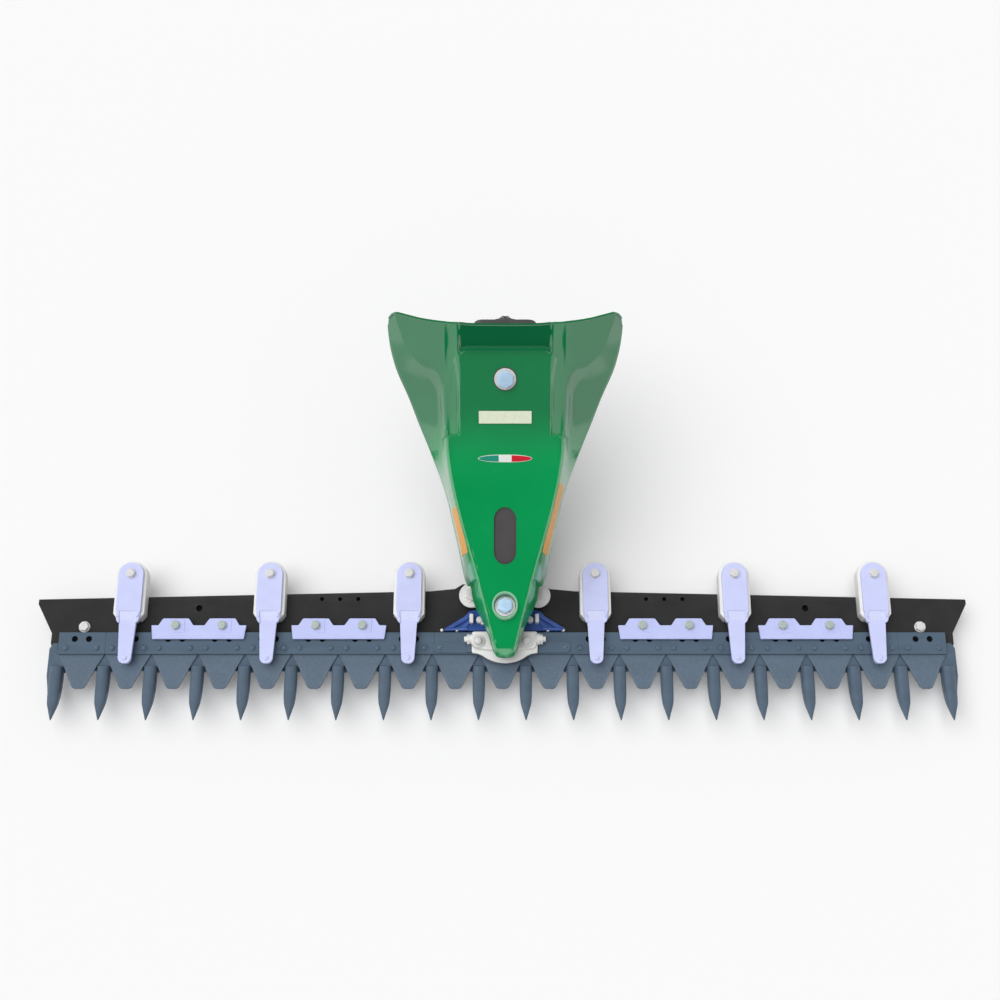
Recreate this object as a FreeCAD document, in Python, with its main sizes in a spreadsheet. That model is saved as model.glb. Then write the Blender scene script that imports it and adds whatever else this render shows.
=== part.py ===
import FreeCAD, Part
import math
import os
import re

import Sketcher
from FreeCAD import Placement, Rotation, Vector

# Sickle bar mower: a centre-driven cutter bar for a two-wheel tractor.
# Axes: +X along the bar, +Y to the rear (towards the tractor), +Z up, floor at Z = 0.
# Every sub-part is drawn with its Y zero on the knife's rivet line and is then moved back by rivet_line,
# which puts the origin on the floor below the middle of the whole machine.

SIZES = {
    # Layout
    "pitch": 76.2,
    "finger_count": 20,
    "rivet_line": -178.5,
    "drive_shift": 4.2,
    "fit_gap": 0.25,
    "bolt_radius": 4,
    "bolt_across": 13,
    "washer_radius": 8,
    "shaft_gap": 0.05,
    # Beam
    "beam_bottom": 30,
    "beam_top": 40,
    "beam_half": 766,
    "beam_waist": 739,
    "beam_front": -8,
    "beam_rear_end": 84,
    "beam_rear_mid": 98,
    "beam_rear_drive": 110,
    "beam_drive_half": 66,
    "swath_hole_half": 500,
    "swath_hole_line": 69,
    "swath_hole_radius": 5.2,
    "side_hole_half": 268,
    "side_hole_gap": 30,
    "side_hole_line": 84.5,
    "side_hole_radius": 3.3,
    # Guards
    "root_bottom": 22,
    "root_front": -32,
    "root_rear": 27,
    "seat_top": 41,
    "slot_top": 45,
    "slot_front": -72,
    "lip_top": 52,
    "lip_rear": -28,
    "finger_tip": -118,
    "finger_width": 20,
    "kink_width": 17,
    "kink_line": -93,
    "shoe_edge": 739,
    "guard_bolt_line": 10,
    # Knife
    "section_bottom": 41.5,
    "strip_bottom": 44,
    "strip_top": 49,
    "strip_front": -10,
    "strip_rear": 26,
    "strip_half": 721,
    "section_root": 75.7,
    "section_shoulder": 66,
    "section_point": 15,
    "section_bend": 49,
    "section_bend_line": -34,
    "section_tip": -65,
    "strip_hole_radius": 5,
    "strip_hole_gap": 23,
    "strip_hole_line": 15,
    # Knife head and clamp
    "head_half": 115,
    "head_thin": 2,
    "head_top": 54,
    "clamp_half": 57,
    "clamp_top": 60,
    "clamp_front": -28,
    "clamp_rear": 25,
    "clamp_bolt_half": 39,
    "clamp_bolt_line": 7,
    "boss_top": 68,
    "boss_radius": 11,
    "drive_pin_radius": 8,
    "drive_pin_top": 79,
    # Drive arm
    "pivot_line": 137,
    "arm_bottom": 65,
    "arm_top": 79,
    "arm_tip_radius": 19,
    "arm_half": 14,
    "hub_radius": 24,
    "hub_bottom": 60,
    "hub_top": 82,
    "pivot_radius": 12,
    "pivot_top": 132,
    "slot_half": 15,
    "pin_play": 0.7,
    # Gear housing and coupling
    "housing_half": 45,
    "housing_bottom": 84,
    "housing_rear": 427,
    "foot_half": 54,
    "foot_line": 86,
    "foot_top": 56,
    "foot_bolt_radius": 6,
    "foot_bolt_across": 19,
    "foot_washer_radius": 21,
    "post_half": 16,
    "post_front": 32,
    "web_inner": 37,
    "flange_rear": 449,
    "flange_half": 48,
    "housing_top_half": 60,
    "coupling_height": 290,
    "spigot_radius": 30,
    "spigot_length": 11.5,
    "coupling_pitch_radius": 46,
    "coupling_hole_radius": 5.5,
    "input_radius": 10,
    "input_front": 320,
    "input_rear": 475,
    "input_tail_radius": 9,
    # Bracket
    "bracket_top": 50,
    "bracket_front": 31,
    "bracket_rear": 108,
    "bracket_bolt_half": 33,
    "bracket_bolt_line": 58,
    # Clips
    "clip_base_half": 25.5,
    "clip_base_front": 45,
    "clip_base_rear": 143,
    "clip_base_top": 63,
    "clip_plate_top": 69,
    "clip_plate_half": 20.5,
    "clip_bolt_line": 120,
    "clip_screw_line": 68,
    "clip_tip": -29,
    "clip_arm_bottom": 59,
    "clip_arm_top": 65,
    "clip_foot_bottom": 44.6,
    # Guides
    "guide_half": 78.5,
    "guide_front": 13.5,
    "guide_fold": 29.5,
    "guide_rear": 48,
    "guide_bottom": 50,
    "guide_top": 55,
    "guide_bolt_line": 36,
    "end_bolt_line": 37,
    "end_bolt_radius": 5,
    # Hood
    "hood_wall": 3,
    "hood_nose": -24,
    "hood_rise_line": -26,
    "hood_rear": 419,
    "hood_seat": 139,
    "hood_depth": 31.8,
    "hood_bolt_radius": 6,
    "hood_washer_radius": 16.5,
    "hood_spacer_radius": 15,
    "hood_nose_top": 97,
    "hood_slope": 0.642,
    "hood_slot_low": 103,
    "hood_slot_high": 181,
    "hood_slot_half": 17.6,
    "hood_low": 84,
    "hood_bolt_front_line": 46,
    "hood_bolt_rear_line": 349,
    # Skids
    "sole_thick": 6,
    "centre_sole_half": 60,
    "centre_sole_rear": 254,
    "end_skid_half": 22,
}

DOC = FreeCAD.newDocument("sickle_bar_mower")
SHEET = DOC.addObject("Spreadsheet::Sheet", "sizes")
PARTS = []


def fill_sheet():
    for row, (alias, amount) in enumerate(SIZES.items(), start=1):
        SHEET.set(f"A{row}", alias)
        SHEET.set(f"B{row}", str(amount))
        SHEET.setAlias(f"B{row}", alias)
    DOC.recompute()


def formula(text):
    """The expression with every size name written as a reference to the sheet."""
    return re.sub(r"[a-z]\w+", lambda name: "sizes." + name[0] if name[0] in SIZES else name[0], str(text))


def number(text):
    return float(SHEET.evalExpression(formula(text)))


def bind(item, **formulas):
    """Binds properties to expressions; a double underscore stands for a dot."""
    for path, text in formulas.items():
        item.setExpression(path.replace("__", "."), formula(text))
    return item


def keep(item, label, shift_x=0):
    """Names a finished sub-part and sets it in the machine's frame."""
    item.Label = label
    bind(item, Placement__Base__x=shift_x, Placement__Base__y="rivet_line")
    PARTS.append(item)
    return item


# Sketched bodies

def new_body(name):
    body = DOC.addObject("PartDesign::Body", name)
    body.AllowCompound = True
    return body


def sketch_on(body, role, offset):
    """A sketch on one of the body's own origin planes, moved along the plane's normal by offset."""
    sketch = body.newObject("Sketcher::SketchObject", body.Name + "_sketch")
    plane = next(feature for feature in body.Origin.OriginFeatures if feature.Role == role)
    sketch.AttachmentSupport = [(plane, "")]
    sketch.MapMode = "FlatFace"
    bind(sketch, AttachmentOffset__Base__z=offset)
    return sketch


def constrain(sketch, kind, places, text):
    index = sketch.addConstraint(Sketcher.Constraint(kind, *places, number(text)))
    sketch.setExpression(f"Constraints[{index}]", formula(text))


def draw_outline(sketch, corners):
    """A closed outline of straight sides; each corner is a pair of expressions."""
    spots = [Vector(number(x), number(y), 0) for x, y in corners]
    first = sketch.GeometryCount
    for here, there in zip(spots, spots[1:] + spots[:1]):
        sketch.addGeometry(Part.LineSegment(here, there), False)
    for step, (x, y) in enumerate(corners):
        side = first + step
        before = first + (step - 1) % len(corners)
        sketch.addConstraint(Sketcher.Constraint("Coincident", before, 2, side, 1))
        constrain(sketch, "DistanceX", (-1, 1, side, 1), x)
        constrain(sketch, "DistanceY", (-1, 1, side, 1), y)


def draw_circle(sketch, x, y, radius):
    circle = Part.Circle(Vector(number(x), number(y), 0), Vector(0, 0, 1), number(radius))
    index = sketch.addGeometry(circle, False)
    constrain(sketch, "DistanceX", (-1, 1, index, 3), x)
    constrain(sketch, "DistanceY", (-1, 1, index, 3), y)
    constrain(sketch, "Radius", (index,), radius)


def pad(body, role, offset, depth, outlines=(), circles=()):
    """Adds the drawn region to the body, from offset along the plane's normal for depth."""
    sketch = sketch_on(body, role, offset)
    for corners in outlines:
        draw_outline(sketch, corners)
    for circle in circles:
        draw_circle(sketch, *circle)
    feature = body.newObject("PartDesign::Pad", body.Name + "_pad")
    feature.Profile = sketch
    bind(feature, Length=depth)
    return feature


def pocket(body, role, offset, depth, outlines=(), circles=()):
    """Removes the drawn region from the body, from offset against the plane's normal for depth."""
    sketch = sketch_on(body, role, offset)
    for corners in outlines:
        draw_outline(sketch, corners)
    for circle in circles:
        draw_circle(sketch, *circle)
    DOC.recompute()
    before = body.Tip.Shape.Volume
    feature = body.newObject("PartDesign::Pocket", body.Name + "_pocket")
    feature.Profile = sketch
    bind(feature, Length=depth)
    DOC.recompute()
    if feature.Shape.Volume >= before - 0.001:
        raise RuntimeError(f"{feature.Name} removed nothing")
    return feature


def mirrored(corners):
    """The outline's right half followed by its mirror image in X."""
    return corners + [(f"-({x})", y) for x, y in reversed(corners)]


def box_outline(x0, x1, y0, y1):
    return [(x0, y0), (x1, y0), (x1, y1), (x0, y1)]


# Solids from primitives

def cylinder(radius, low, high, x=0, y=0):
    item = DOC.addObject("Part::Cylinder", "cylinder")
    bind(item, Radius=radius, Height=f"({high}) - ({low})")
    bind(item, Placement__Base__x=x, Placement__Base__y=y, Placement__Base__z=low)
    return item


def hexagon(across, low, high, x=0, y=0):
    item = DOC.addObject("Part::Prism", "hexagon")
    item.Polygon = 6
    bind(item, Circumradius=f"({across}) / sqrt(3)", Height=f"({high}) - ({low})")
    bind(item, Placement__Base__x=x, Placement__Base__y=y, Placement__Base__z=low)
    return item


def tube(radius, bore, low, high):
    item = DOC.addObject("Part::Cut", "tube")
    item.Base = cylinder(radius, low, high)
    item.Tool = cylinder(bore, f"({low}) - 1", f"({high}) + 1")
    return item


def fused(items):
    union = DOC.addObject("Part::MultiFuse", "union")
    union.Shapes = items
    return union


def group(items):
    """Separate solids that share a node."""
    compound = DOC.addObject("Part::Compound", "group")
    compound.Links = items
    return compound


def bolt(x, y, seat, low, nut=None, shank="bolt_radius", across="bolt_across", washer="washer_radius"):
    """A hexagon bolt with its washer on seat and its shank down to low, with a nut below the height nut."""
    pieces = [
        cylinder(washer, seat, f"{seat} + 1.6", x, y),
        hexagon(across, f"{seat} + 1.6", f"{seat} + 1.6 + {across} * 0.42", x, y),
        cylinder(shank, low, f"{seat} + 1", x, y),
    ]
    if nut is not None:
        pieces.append(hexagon(across, low, nut, x, y))
    return fused(pieces)


def hood_height(line):
    """The height of the hood's sloping top at a line, as an expression."""
    return f"(hood_nose_top + hood_slope * ({line} - hood_rise_line))"


def tilt(item, placement="Placement"):
    """Turns an item square to the hood's top, at the rear hood bolt."""
    place = getattr(item, placement)
    setattr(item, placement, Placement(place.Base, Rotation(Vector(1, 0, 0), 30)))
    item.setExpression(f"{placement}.Base.y", formula("hood_bolt_rear_line"))
    item.setExpression(f"{placement}.Base.z", formula(hood_height("hood_bolt_rear_line")))
    item.setExpression(f"{placement}.Rotation.Angle", formula("atan(hood_slope)"))


# Sub-parts

def finger_places():
    return [f"{index - 9.5} * pitch" for index in range(int(SIZES["finger_count"]))]


def guide_places():
    return [f"{step} * pitch" for step in (-6.5, -3.5, 3.5, 6.5)]


def clip_places():
    return [f"{step} * pitch" for step in (-8, -5, -2, 2, 5, 8)]


def beam():
    body = new_body("cutter_beam")
    right = [
        ("beam_waist - 12", "beam_front"),
        ("beam_waist", "beam_front + 14"),
        ("beam_waist", 27),
        ("beam_half", "beam_rear_end - 8"),
        ("beam_half", "beam_rear_end"),
        (120, "beam_rear_mid"),
        ("beam_drive_half + 12", "beam_rear_mid + 4"),
        ("beam_drive_half", "beam_rear_drive"),
    ]
    holes = [(x, "guard_bolt_line", "bolt_radius + fit_gap") for x in finger_places()]
    for x in guide_places():
        for side in (-1, 1):
            holes.append((f"{x} + {side} * pitch / 2", "guide_bolt_line", "bolt_radius + fit_gap"))
    holes += [(x, "clip_screw_line", "bolt_radius + fit_gap") for x in clip_places()]
    for side in (-1, 1):
        holes.append((f"{side} * 9 * pitch", "end_bolt_line", "end_bolt_radius + fit_gap"))
        holes.append((f"{side} * swath_hole_half", "swath_hole_line", "swath_hole_radius"))
        for step in (-1, 0, 1):
            x = f"{side} * (side_hole_half + {step} * side_hole_gap)"
            holes.append((x, "side_hole_line", "side_hole_radius"))
        holes.append((f"drive_shift + {side} * foot_half", "foot_line", "foot_bolt_radius + fit_gap"))
        x = f"drive_shift + {side} * bracket_bolt_half"
        holes.append((x, "bracket_bolt_line", "bolt_radius + fit_gap"))
    pad(body, "XY_Plane", "beam_bottom", "beam_top - beam_bottom", [mirrored(right)], holes)
    keep(body, "cutter_beam")


def guard(index):
    """A double guard: two fingers on one root plate that is bolted under the beam."""
    body = new_body(f"guard_{index}")
    side_view = [
        ("root_front + 12", "root_bottom"),
        ("root_front + 12", "seat_top"),
        ("slot_front", "seat_top"),
        ("slot_front", "slot_top"),
        ("lip_rear", "slot_top"),
        ("lip_rear", "lip_top - 3"),
        ("lip_rear - 7", "lip_top"),
        ("kink_line", "lip_top"),
        ("finger_tip", "lip_top - 3"),
        ("finger_tip", "lip_top - 7"),
        ("kink_line", 34),
        (-62, 24),
        ("root_front - 10", "root_bottom"),
    ]
    for side in (-1, 1):
        start = f"{side} * pitch / 2 - finger_width / 2"
        pad(body, "YZ_Plane", start, "finger_width", [side_view])
    ends = ["-pitch + 0.5", "pitch - 0.5"]
    if index == 1:
        ends[0] = "9 * pitch - beam_waist"
    if index == 10:
        ends[1] = "beam_waist - 9 * pitch"
    root = box_outline(*ends, "root_front", "root_rear")
    holes = [(f"{side} * pitch / 2", "guard_bolt_line", "bolt_radius + fit_gap") for side in (-1, 1)]
    pad(body, "XY_Plane", "root_bottom", "beam_bottom - root_bottom", [root], holes)
    outer = 0
    if index in (1, 10):
        outer = -1 if index == 1 else 1
        end_shoe(body, outer)
    trims = []
    for side in (-1, 1):
        for edge in (-1, 1):
            if side == outer and edge == outer:
                continue
            middle = f"{side} * pitch / 2"
            trims.append([
                (f"{middle} + {edge} * finger_width / 2", -45),
                (f"{middle} + {edge} * kink_width / 2", "kink_line"),
                (f"{middle} + {edge} * 1.5", "finger_tip - 1"),
                (f"{middle} + {edge} * (finger_width / 2 + 4)", "finger_tip - 1"),
                (f"{middle} + {edge} * (finger_width / 2 + 4)", -45),
            ])
    pocket(body, "XY_Plane", "lip_top + 1", 40, trims)
    keep(body, f"guard_{index}", f"{2 * index - 11} * pitch")


def end_shoe(body, outer):
    """The outer side of an end guard: a cheek beside the last finger, low where the knife's end passes."""
    middle = f"{outer} * pitch / 2"
    reach = f"{middle} + {outer} * (shoe_edge - 9.5 * pitch)"
    cheek = [
        (f"{middle} + {outer} * 4", "finger_tip + 12"),
        (f"{reach} - {outer} * 5", "finger_tip + 26"),
        (f"{reach} - {outer}", -70),
        (reach, -48),
        (f"{reach} - {outer} * 1.5", -20),
        (reach, "beam_front - 1"),
        (f"{middle} + {outer} * 4", "beam_front - 1"),
    ]
    pad(body, "XY_Plane", "beam_bottom", "seat_top - beam_bottom", [cheek])
    upper = cheek[:4] + [(f"{reach} - {outer}", "lip_rear"), (f"{middle} + {outer} * 4", "lip_rear")]
    pad(body, "XY_Plane", "slot_top", "lip_top - slot_top", [upper])


def guards():
    for index in range(1, 11):
        guard(index)
    bolts = []
    for x in finger_places():
        shank = cylinder("bolt_radius", "root_bottom - 6.5", "beam_top", x, "guard_bolt_line")
        nut = hexagon("bolt_across", "root_bottom - 6.5", "root_bottom", x, "guard_bolt_line")
        bolts.append(fused([shank, nut]))
    keep(group(bolts), "guard_bolts")


def knife():
    strip = new_body("knife_back")
    holes = []
    for index in range(19):
        for side in (-1, 1):
            if abs(index - 9) > 1:
                x = f"{index - 9} * pitch + {side} * strip_hole_gap / 2"
                holes.append((x, "strip_hole_line", "strip_hole_radius"))
    strip_outline = box_outline("-strip_half", "strip_half", "strip_front", "strip_rear")
    pad(strip, "XY_Plane", "strip_bottom", "strip_top - strip_bottom", [strip_outline], holes)
    keep(strip, "knife_back")

    blades = new_body("knife_sections")
    blade = mirrored([
        ("section_root / 2", 18),
        ("section_root / 2", "strip_front + 2"),
        ("section_shoulder / 2", "strip_front - 2"),
        ("section_bend / 2", "section_bend_line"),
        ("section_point / 2", "section_tip + 3"),
        ("section_point / 2 - 3", "section_tip"),
    ][::-1])
    first = pad(blades, "XY_Plane", "section_bottom", "strip_bottom - section_bottom", [
        [(f"{x} - 9 * pitch", y) for x, y in blade]])
    row = blades.newObject("PartDesign::LinearPattern", "blade_row")
    row.Originals = [first]
    row.Direction = (first.Profile[0], ["H_Axis"])
    bind(row, Length="18 * pitch")
    row.Occurrences = 19
    blades.Tip = row
    keep(blades, "knife_sections")

    head = new_body("knife_head")
    plate = mirrored([("head_half - 7", -8), ("head_half", -2), ("head_half", 4), ("head_half - 7", 10)])
    holes = [(f"{side} * clamp_bolt_half", "clamp_bolt_line", "bolt_radius + fit_gap") for side in (-1, 1)]
    wide = box_outline("-clamp_half", "clamp_half", -8, 24)
    pad(head, "XY_Plane", "strip_top", "head_thin", [plate])
    pad(head, "XY_Plane", "strip_top", "head_top - strip_top", [wide])
    pocket(head, "XY_Plane", "head_top", "head_top - strip_top", [], holes)
    keep(head, "knife_head")


def knife_clamp():
    body = new_body("knife_clamp")
    plate = mirrored([
        ("clamp_half - 22", "clamp_front"),
        ("clamp_half - 6", "clamp_front + 9"),
        ("clamp_half", "clamp_front + 20"),
        ("clamp_half", "clamp_rear"),
    ])
    pad(body, "XY_Plane", "head_top", "clamp_top - head_top", [plate])
    bosses = [(f"{side} * clamp_bolt_half", "clamp_bolt_line", "boss_radius") for side in (-1, 1)]
    pad(body, "XY_Plane", "clamp_top", "boss_top - clamp_top", [], bosses)
    pad(body, "XY_Plane", "clamp_top", "drive_pin_top - clamp_top", [],
        [(0, "clamp_bolt_line", "drive_pin_radius")])
    holes = [(f"{side} * clamp_bolt_half", "clamp_bolt_line", "bolt_radius + fit_gap") for side in (-1, 1)]
    pocket(body, "XY_Plane", "boss_top + 1", "boss_top - head_top + 2", [], holes)
    for side in (-1, 1):
        stub = sketch_on(body, "YZ_Plane", "clamp_half" if side > 0 else "-clamp_half - 10")
        draw_circle(stub, 12, "clamp_top - 1", 5)
        feature = body.newObject("PartDesign::Pad", "stub")
        feature.Profile = stub
        bind(feature, Length=10)
    keep(body, "knife_clamp")
    bolts = []
    for side in (-1, 1):
        x = f"{side} * clamp_bolt_half"
        bolts.append(bolt(x, "clamp_bolt_line", "boss_top", "strip_top", washer="boss_radius - 1.5"))
    keep(group(bolts), "clamp_bolts")


def drive_arm():
    body = new_body("drive_arm")
    blank = mirrored([
        ("arm_half", "clamp_bolt_line - 12"),
        ("arm_tip_radius", "clamp_bolt_line - 6"),
        ("arm_tip_radius", "clamp_bolt_line + 14"),
        ("arm_half", "clamp_bolt_line + 26"),
        ("arm_half + 3", "pivot_line"),
    ])
    pad(body, "XY_Plane", "arm_bottom", "arm_top - arm_bottom", [blank])
    pad(body, "XY_Plane", "hub_bottom", "hub_top - hub_bottom", [], [(0, "pivot_line", "hub_radius")])
    pad(body, "XY_Plane", "hub_top", "pivot_top - hub_top", [], [(0, "pivot_line", "pivot_radius")])
    slot = box_outline("-(drive_pin_radius + pin_play)", "drive_pin_radius + pin_play",
                       "clamp_bolt_line - 13", "clamp_bolt_line + slot_half + 1")
    pocket(body, "XY_Plane", "arm_top + 1", "arm_top - arm_bottom + 2", [slot])
    keep(body, "drive_arm")


def gear_housing():
    body = new_body("gear_housing")
    side_view = [
        (100, "housing_bottom"),
        (176, "housing_bottom"),
        ("housing_rear", "coupling_height - housing_top_half"),
        ("housing_rear", "coupling_height + housing_top_half"),
        (100, "coupling_height + housing_top_half - hood_slope * (housing_rear - 100)"),
    ]
    pad(body, "YZ_Plane", "-housing_half", "2 * housing_half", [side_view])
    pad(body, "XY_Plane", "housing_bottom + 2", "hood_seat - 11 - housing_bottom - 2",
        [box_outline("-post_half", "post_half", "post_front", 104)],
        [(0, "hood_bolt_front_line", "hood_bolt_radius + fit_gap")])
    for side in (-1, 1):
        inner = f"{side} * web_inner"
        outer = f"{side} * (foot_half + 21)"
        pad(body, "XY_Plane", "bracket_top", "foot_top - bracket_top",
            [box_outline(inner, outer, "foot_line - 20", "foot_line + 24")])
        pad(body, "XY_Plane", "bracket_top", "housing_bottom + 20 - bracket_top",
            [box_outline(inner, f"{side} * housing_half", "foot_line + 22.5", "foot_line + 38")])
    holes = [(f"{side} * foot_half", "foot_line", "foot_bolt_radius + fit_gap") for side in (-1, 1)]
    pocket(body, "XY_Plane", "foot_top + 1", "foot_top - bracket_top + 2", [], holes)
    pivot = [("-drive_shift", "pivot_line", "pivot_radius + shaft_gap")]
    pocket(body, "XY_Plane", "pivot_top + 2", "pivot_top - housing_bottom + 4", [], pivot)
    bore = sketch_on(body, "XZ_Plane", "-housing_rear - 1")
    draw_circle(bore, 0, "coupling_height", "input_radius + shaft_gap")
    cut = body.newObject("PartDesign::Pocket", "input_bore")
    cut.Profile = bore
    cut.Reversed = True
    bind(cut, Length="housing_rear - input_front + 2")
    tapping = sketch_on(body, "XY_Plane", hood_height("hood_bolt_rear_line"))
    draw_circle(tapping, 0, 0, "hood_bolt_radius + fit_gap")
    tilt(tapping, "AttachmentOffset")
    cut = body.newObject("PartDesign::Pocket", "hood_bolt_bore")
    cut.Profile = tapping
    bind(cut, Length="hood_depth + 12")
    keep(body, "gear_housing", "drive_shift")


def coupling():
    body = new_body("coupling_flange")
    outline = mirrored([
        ("flange_half - 13", "coupling_height - flange_half"),
        ("flange_half", "coupling_height - flange_half + 13"),
        ("flange_half", "coupling_height + flange_half - 13"),
        ("flange_half - 13", "coupling_height + flange_half"),
    ])
    holes = [(0, "coupling_height", "input_radius + shaft_gap")]
    for turn in (45, 135, 225, 315):
        across = f"coupling_pitch_radius * cos({turn} deg)"
        upward = f"coupling_height + coupling_pitch_radius * sin({turn} deg)"
        holes.append((across, upward, "coupling_hole_radius"))
    pad(body, "XZ_Plane", "-flange_rear", "flange_rear - housing_rear", [outline], holes)
    spigot = [(0, "coupling_height", "spigot_radius"), (0, "coupling_height", "input_radius + shaft_gap")]
    pad(body, "XZ_Plane", "-flange_rear - spigot_length", "spigot_length", [], spigot)
    keep(body, "coupling_flange", "drive_shift")

    shaft = new_body("input_shaft")
    step = "flange_rear + spigot_length"
    lengths = [("input_front + 2", step, "input_radius"), (step, "input_rear", "input_tail_radius")]
    for low, high, radius in lengths:
        pad(shaft, "XZ_Plane", f"-({high})", f"{high} - ({low})", [], [(0, "coupling_height", radius)])
    keep(shaft, "input_shaft", "drive_shift")


def bar_bracket():
    body = new_body("bar_bracket")
    plate = mirrored([
        (100, "bracket_front"),
        (66, 56),
        (76, 64),
        (76, "bracket_rear"),
    ])
    holes = []
    for side in (-1, 1):
        holes.append((f"{side} * foot_half", "foot_line", "foot_bolt_radius + fit_gap"))
        holes.append((f"{side} * bracket_bolt_half", "bracket_bolt_line", "bolt_radius + fit_gap"))
    pad(body, "XY_Plane", "beam_top", "bracket_top - beam_top", [plate], holes)
    for side in (-1, 1):
        rib = [
            (f"{side} * 96", "bracket_front + 1"),
            (f"{side} * 86", "bracket_front + 1"),
            (f"{side} * 58", 53),
            (f"{side} * 65", 55),
        ]
        pad(body, "XY_Plane", "bracket_top", 6, [rib])
    keep(body, "bar_bracket", "drive_shift")
    bolts = []
    for side in (-1, 1):
        x = f"drive_shift + {side} * bracket_bolt_half"
        bolts.append(bolt(x, "bracket_bolt_line", "bracket_top", "beam_bottom - 7", "beam_bottom"))
    keep(group(bolts), "bracket_bolts")
    feet = []
    for side in (-1, 1):
        x = f"drive_shift + {side} * foot_half"
        feet.append(fused([
            cylinder("foot_washer_radius", "foot_top", "foot_top + 3.5", x, "foot_line"),
            hexagon("foot_bolt_across", "foot_top + 3", "foot_top + 11", x, "foot_line"),
            cylinder("foot_bolt_radius", "beam_bottom - 16", "foot_top + 3", x, "foot_line"),
            hexagon("foot_bolt_across", "beam_bottom - 16", "beam_bottom - 6", x, "foot_line"),
        ]))
    keep(group(feet), "foot_bolts")


def clips():
    for index, x in enumerate(clip_places(), start=1):
        base = new_body(f"clip_base_{index}")
        outline = mirrored([
            ("clip_base_half - 7", "clip_base_front"),
            ("clip_base_half", "clip_base_front + 8"),
            ("clip_base_half", "clip_base_rear - 18"),
            ("clip_base_half - 5", "clip_base_rear - 8"),
            ("clip_base_half - 15", "clip_base_rear"),
        ])
        pad(base, "XY_Plane", "beam_top", "clip_base_top - beam_top", [outline],
            [(0, "clip_bolt_line", "bolt_radius + fit_gap")])
        screw = sketch_on(base, "XY_Plane", "beam_top")
        draw_circle(screw, 0, "clip_screw_line", "bolt_radius + fit_gap")
        DOC.recompute()
        tapping = base.newObject("PartDesign::Pocket", "tapping")
        tapping.Profile = screw
        tapping.Reversed = True
        bind(tapping, Length=16)
        keep(base, f"clip_base_{index}", x)

        arm = new_body(f"clip_arm_{index}")
        plate = mirrored([
            ("clip_plate_half - 6", 58),
            ("clip_plate_half", 66),
            ("clip_plate_half", "clip_bolt_line + 4"),
            ("clip_plate_half - 5", "clip_bolt_line + 13"),
            ("clip_plate_half - 13", "clip_bolt_line + 19"),
        ])
        pad(arm, "XY_Plane", "clip_base_top", "clip_plate_top - clip_base_top", [plate],
            [(0, "clip_bolt_line", "bolt_radius + fit_gap")])
        finger = mirrored([
            (5, "clip_tip"),
            (10, "clip_tip + 5"),
            (14, 30),
            ("clip_plate_half", 36),
            ("clip_plate_half", 44),
        ])
        pad(arm, "XY_Plane", "clip_arm_bottom", "clip_arm_top - clip_arm_bottom", [finger])
        riser = box_outline(-14, 14, "clip_base_front - 6", "clip_base_front - 0.5")
        pad(arm, "XY_Plane", "clip_arm_bottom", "clip_plate_top - clip_arm_bottom", [riser])
        bridge = box_outline(-14, 14, "clip_base_front - 6", 60)
        pad(arm, "XY_Plane", "clip_base_top", "clip_plate_top - clip_base_top", [bridge])
        pad(arm, "XY_Plane", "clip_foot_bottom", "clip_arm_bottom - clip_foot_bottom",
            [box_outline(-8, 8, "clip_tip + 1", "strip_front - 5")])
        keep(arm, f"clip_arm_{index}", x)
    bolts = [bolt(x, "clip_bolt_line", "clip_plate_top", "beam_top - 7", "beam_top") for x in clip_places()]
    keep(group(bolts), "clip_bolts")
    screws = []
    for x in clip_places():
        head = hexagon("bolt_across", "beam_bottom - 5.5", "beam_bottom", x, "clip_screw_line")
        shank = cylinder("bolt_radius", "beam_bottom - 1", "beam_top + 14", x, "clip_screw_line")
        screws.append(fused([head, shank]))
    keep(group(screws), "clip_screws")


def guides():
    for index, x in enumerate(guide_places(), start=1):
        body = new_body(f"knife_guide_{index}")
        plate = mirrored([
            ("guide_half - 3", "guide_front"),
            ("guide_half", "guide_bolt_line"),
            ("guide_half - 18", "guide_bolt_line + 2"),
            ("guide_half - 24", "guide_rear"),
            ("guide_half - 54", "guide_rear"),
            ("guide_half - 60", "guide_bolt_line + 2"),
        ])
        holes = [(f"{side} * pitch / 2", "guide_bolt_line", "bolt_radius + fit_gap") for side in (-1, 1)]
        pad(body, "XY_Plane", "guide_bottom", "guide_top - guide_bottom", [plate], holes)
        foot = box_outline("-guide_half + 6", "guide_half - 6", "guide_fold", "guide_bolt_line + 1")
        pad(body, "XY_Plane", "beam_top", "guide_bottom - beam_top", [foot])
        pocket(body, "XY_Plane", "guide_top + 1", "guide_top - beam_top + 2", [], holes)
        keep(body, f"knife_guide_{index}", x)
    bolts = []
    for x in guide_places():
        for side in (-1, 1):
            spot = f"{x} + {side} * pitch / 2"
            bolts.append(bolt(spot, "guide_bolt_line", "guide_top", "beam_bottom - 7", "beam_bottom"))
    keep(group(bolts), "guide_bolts")


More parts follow.
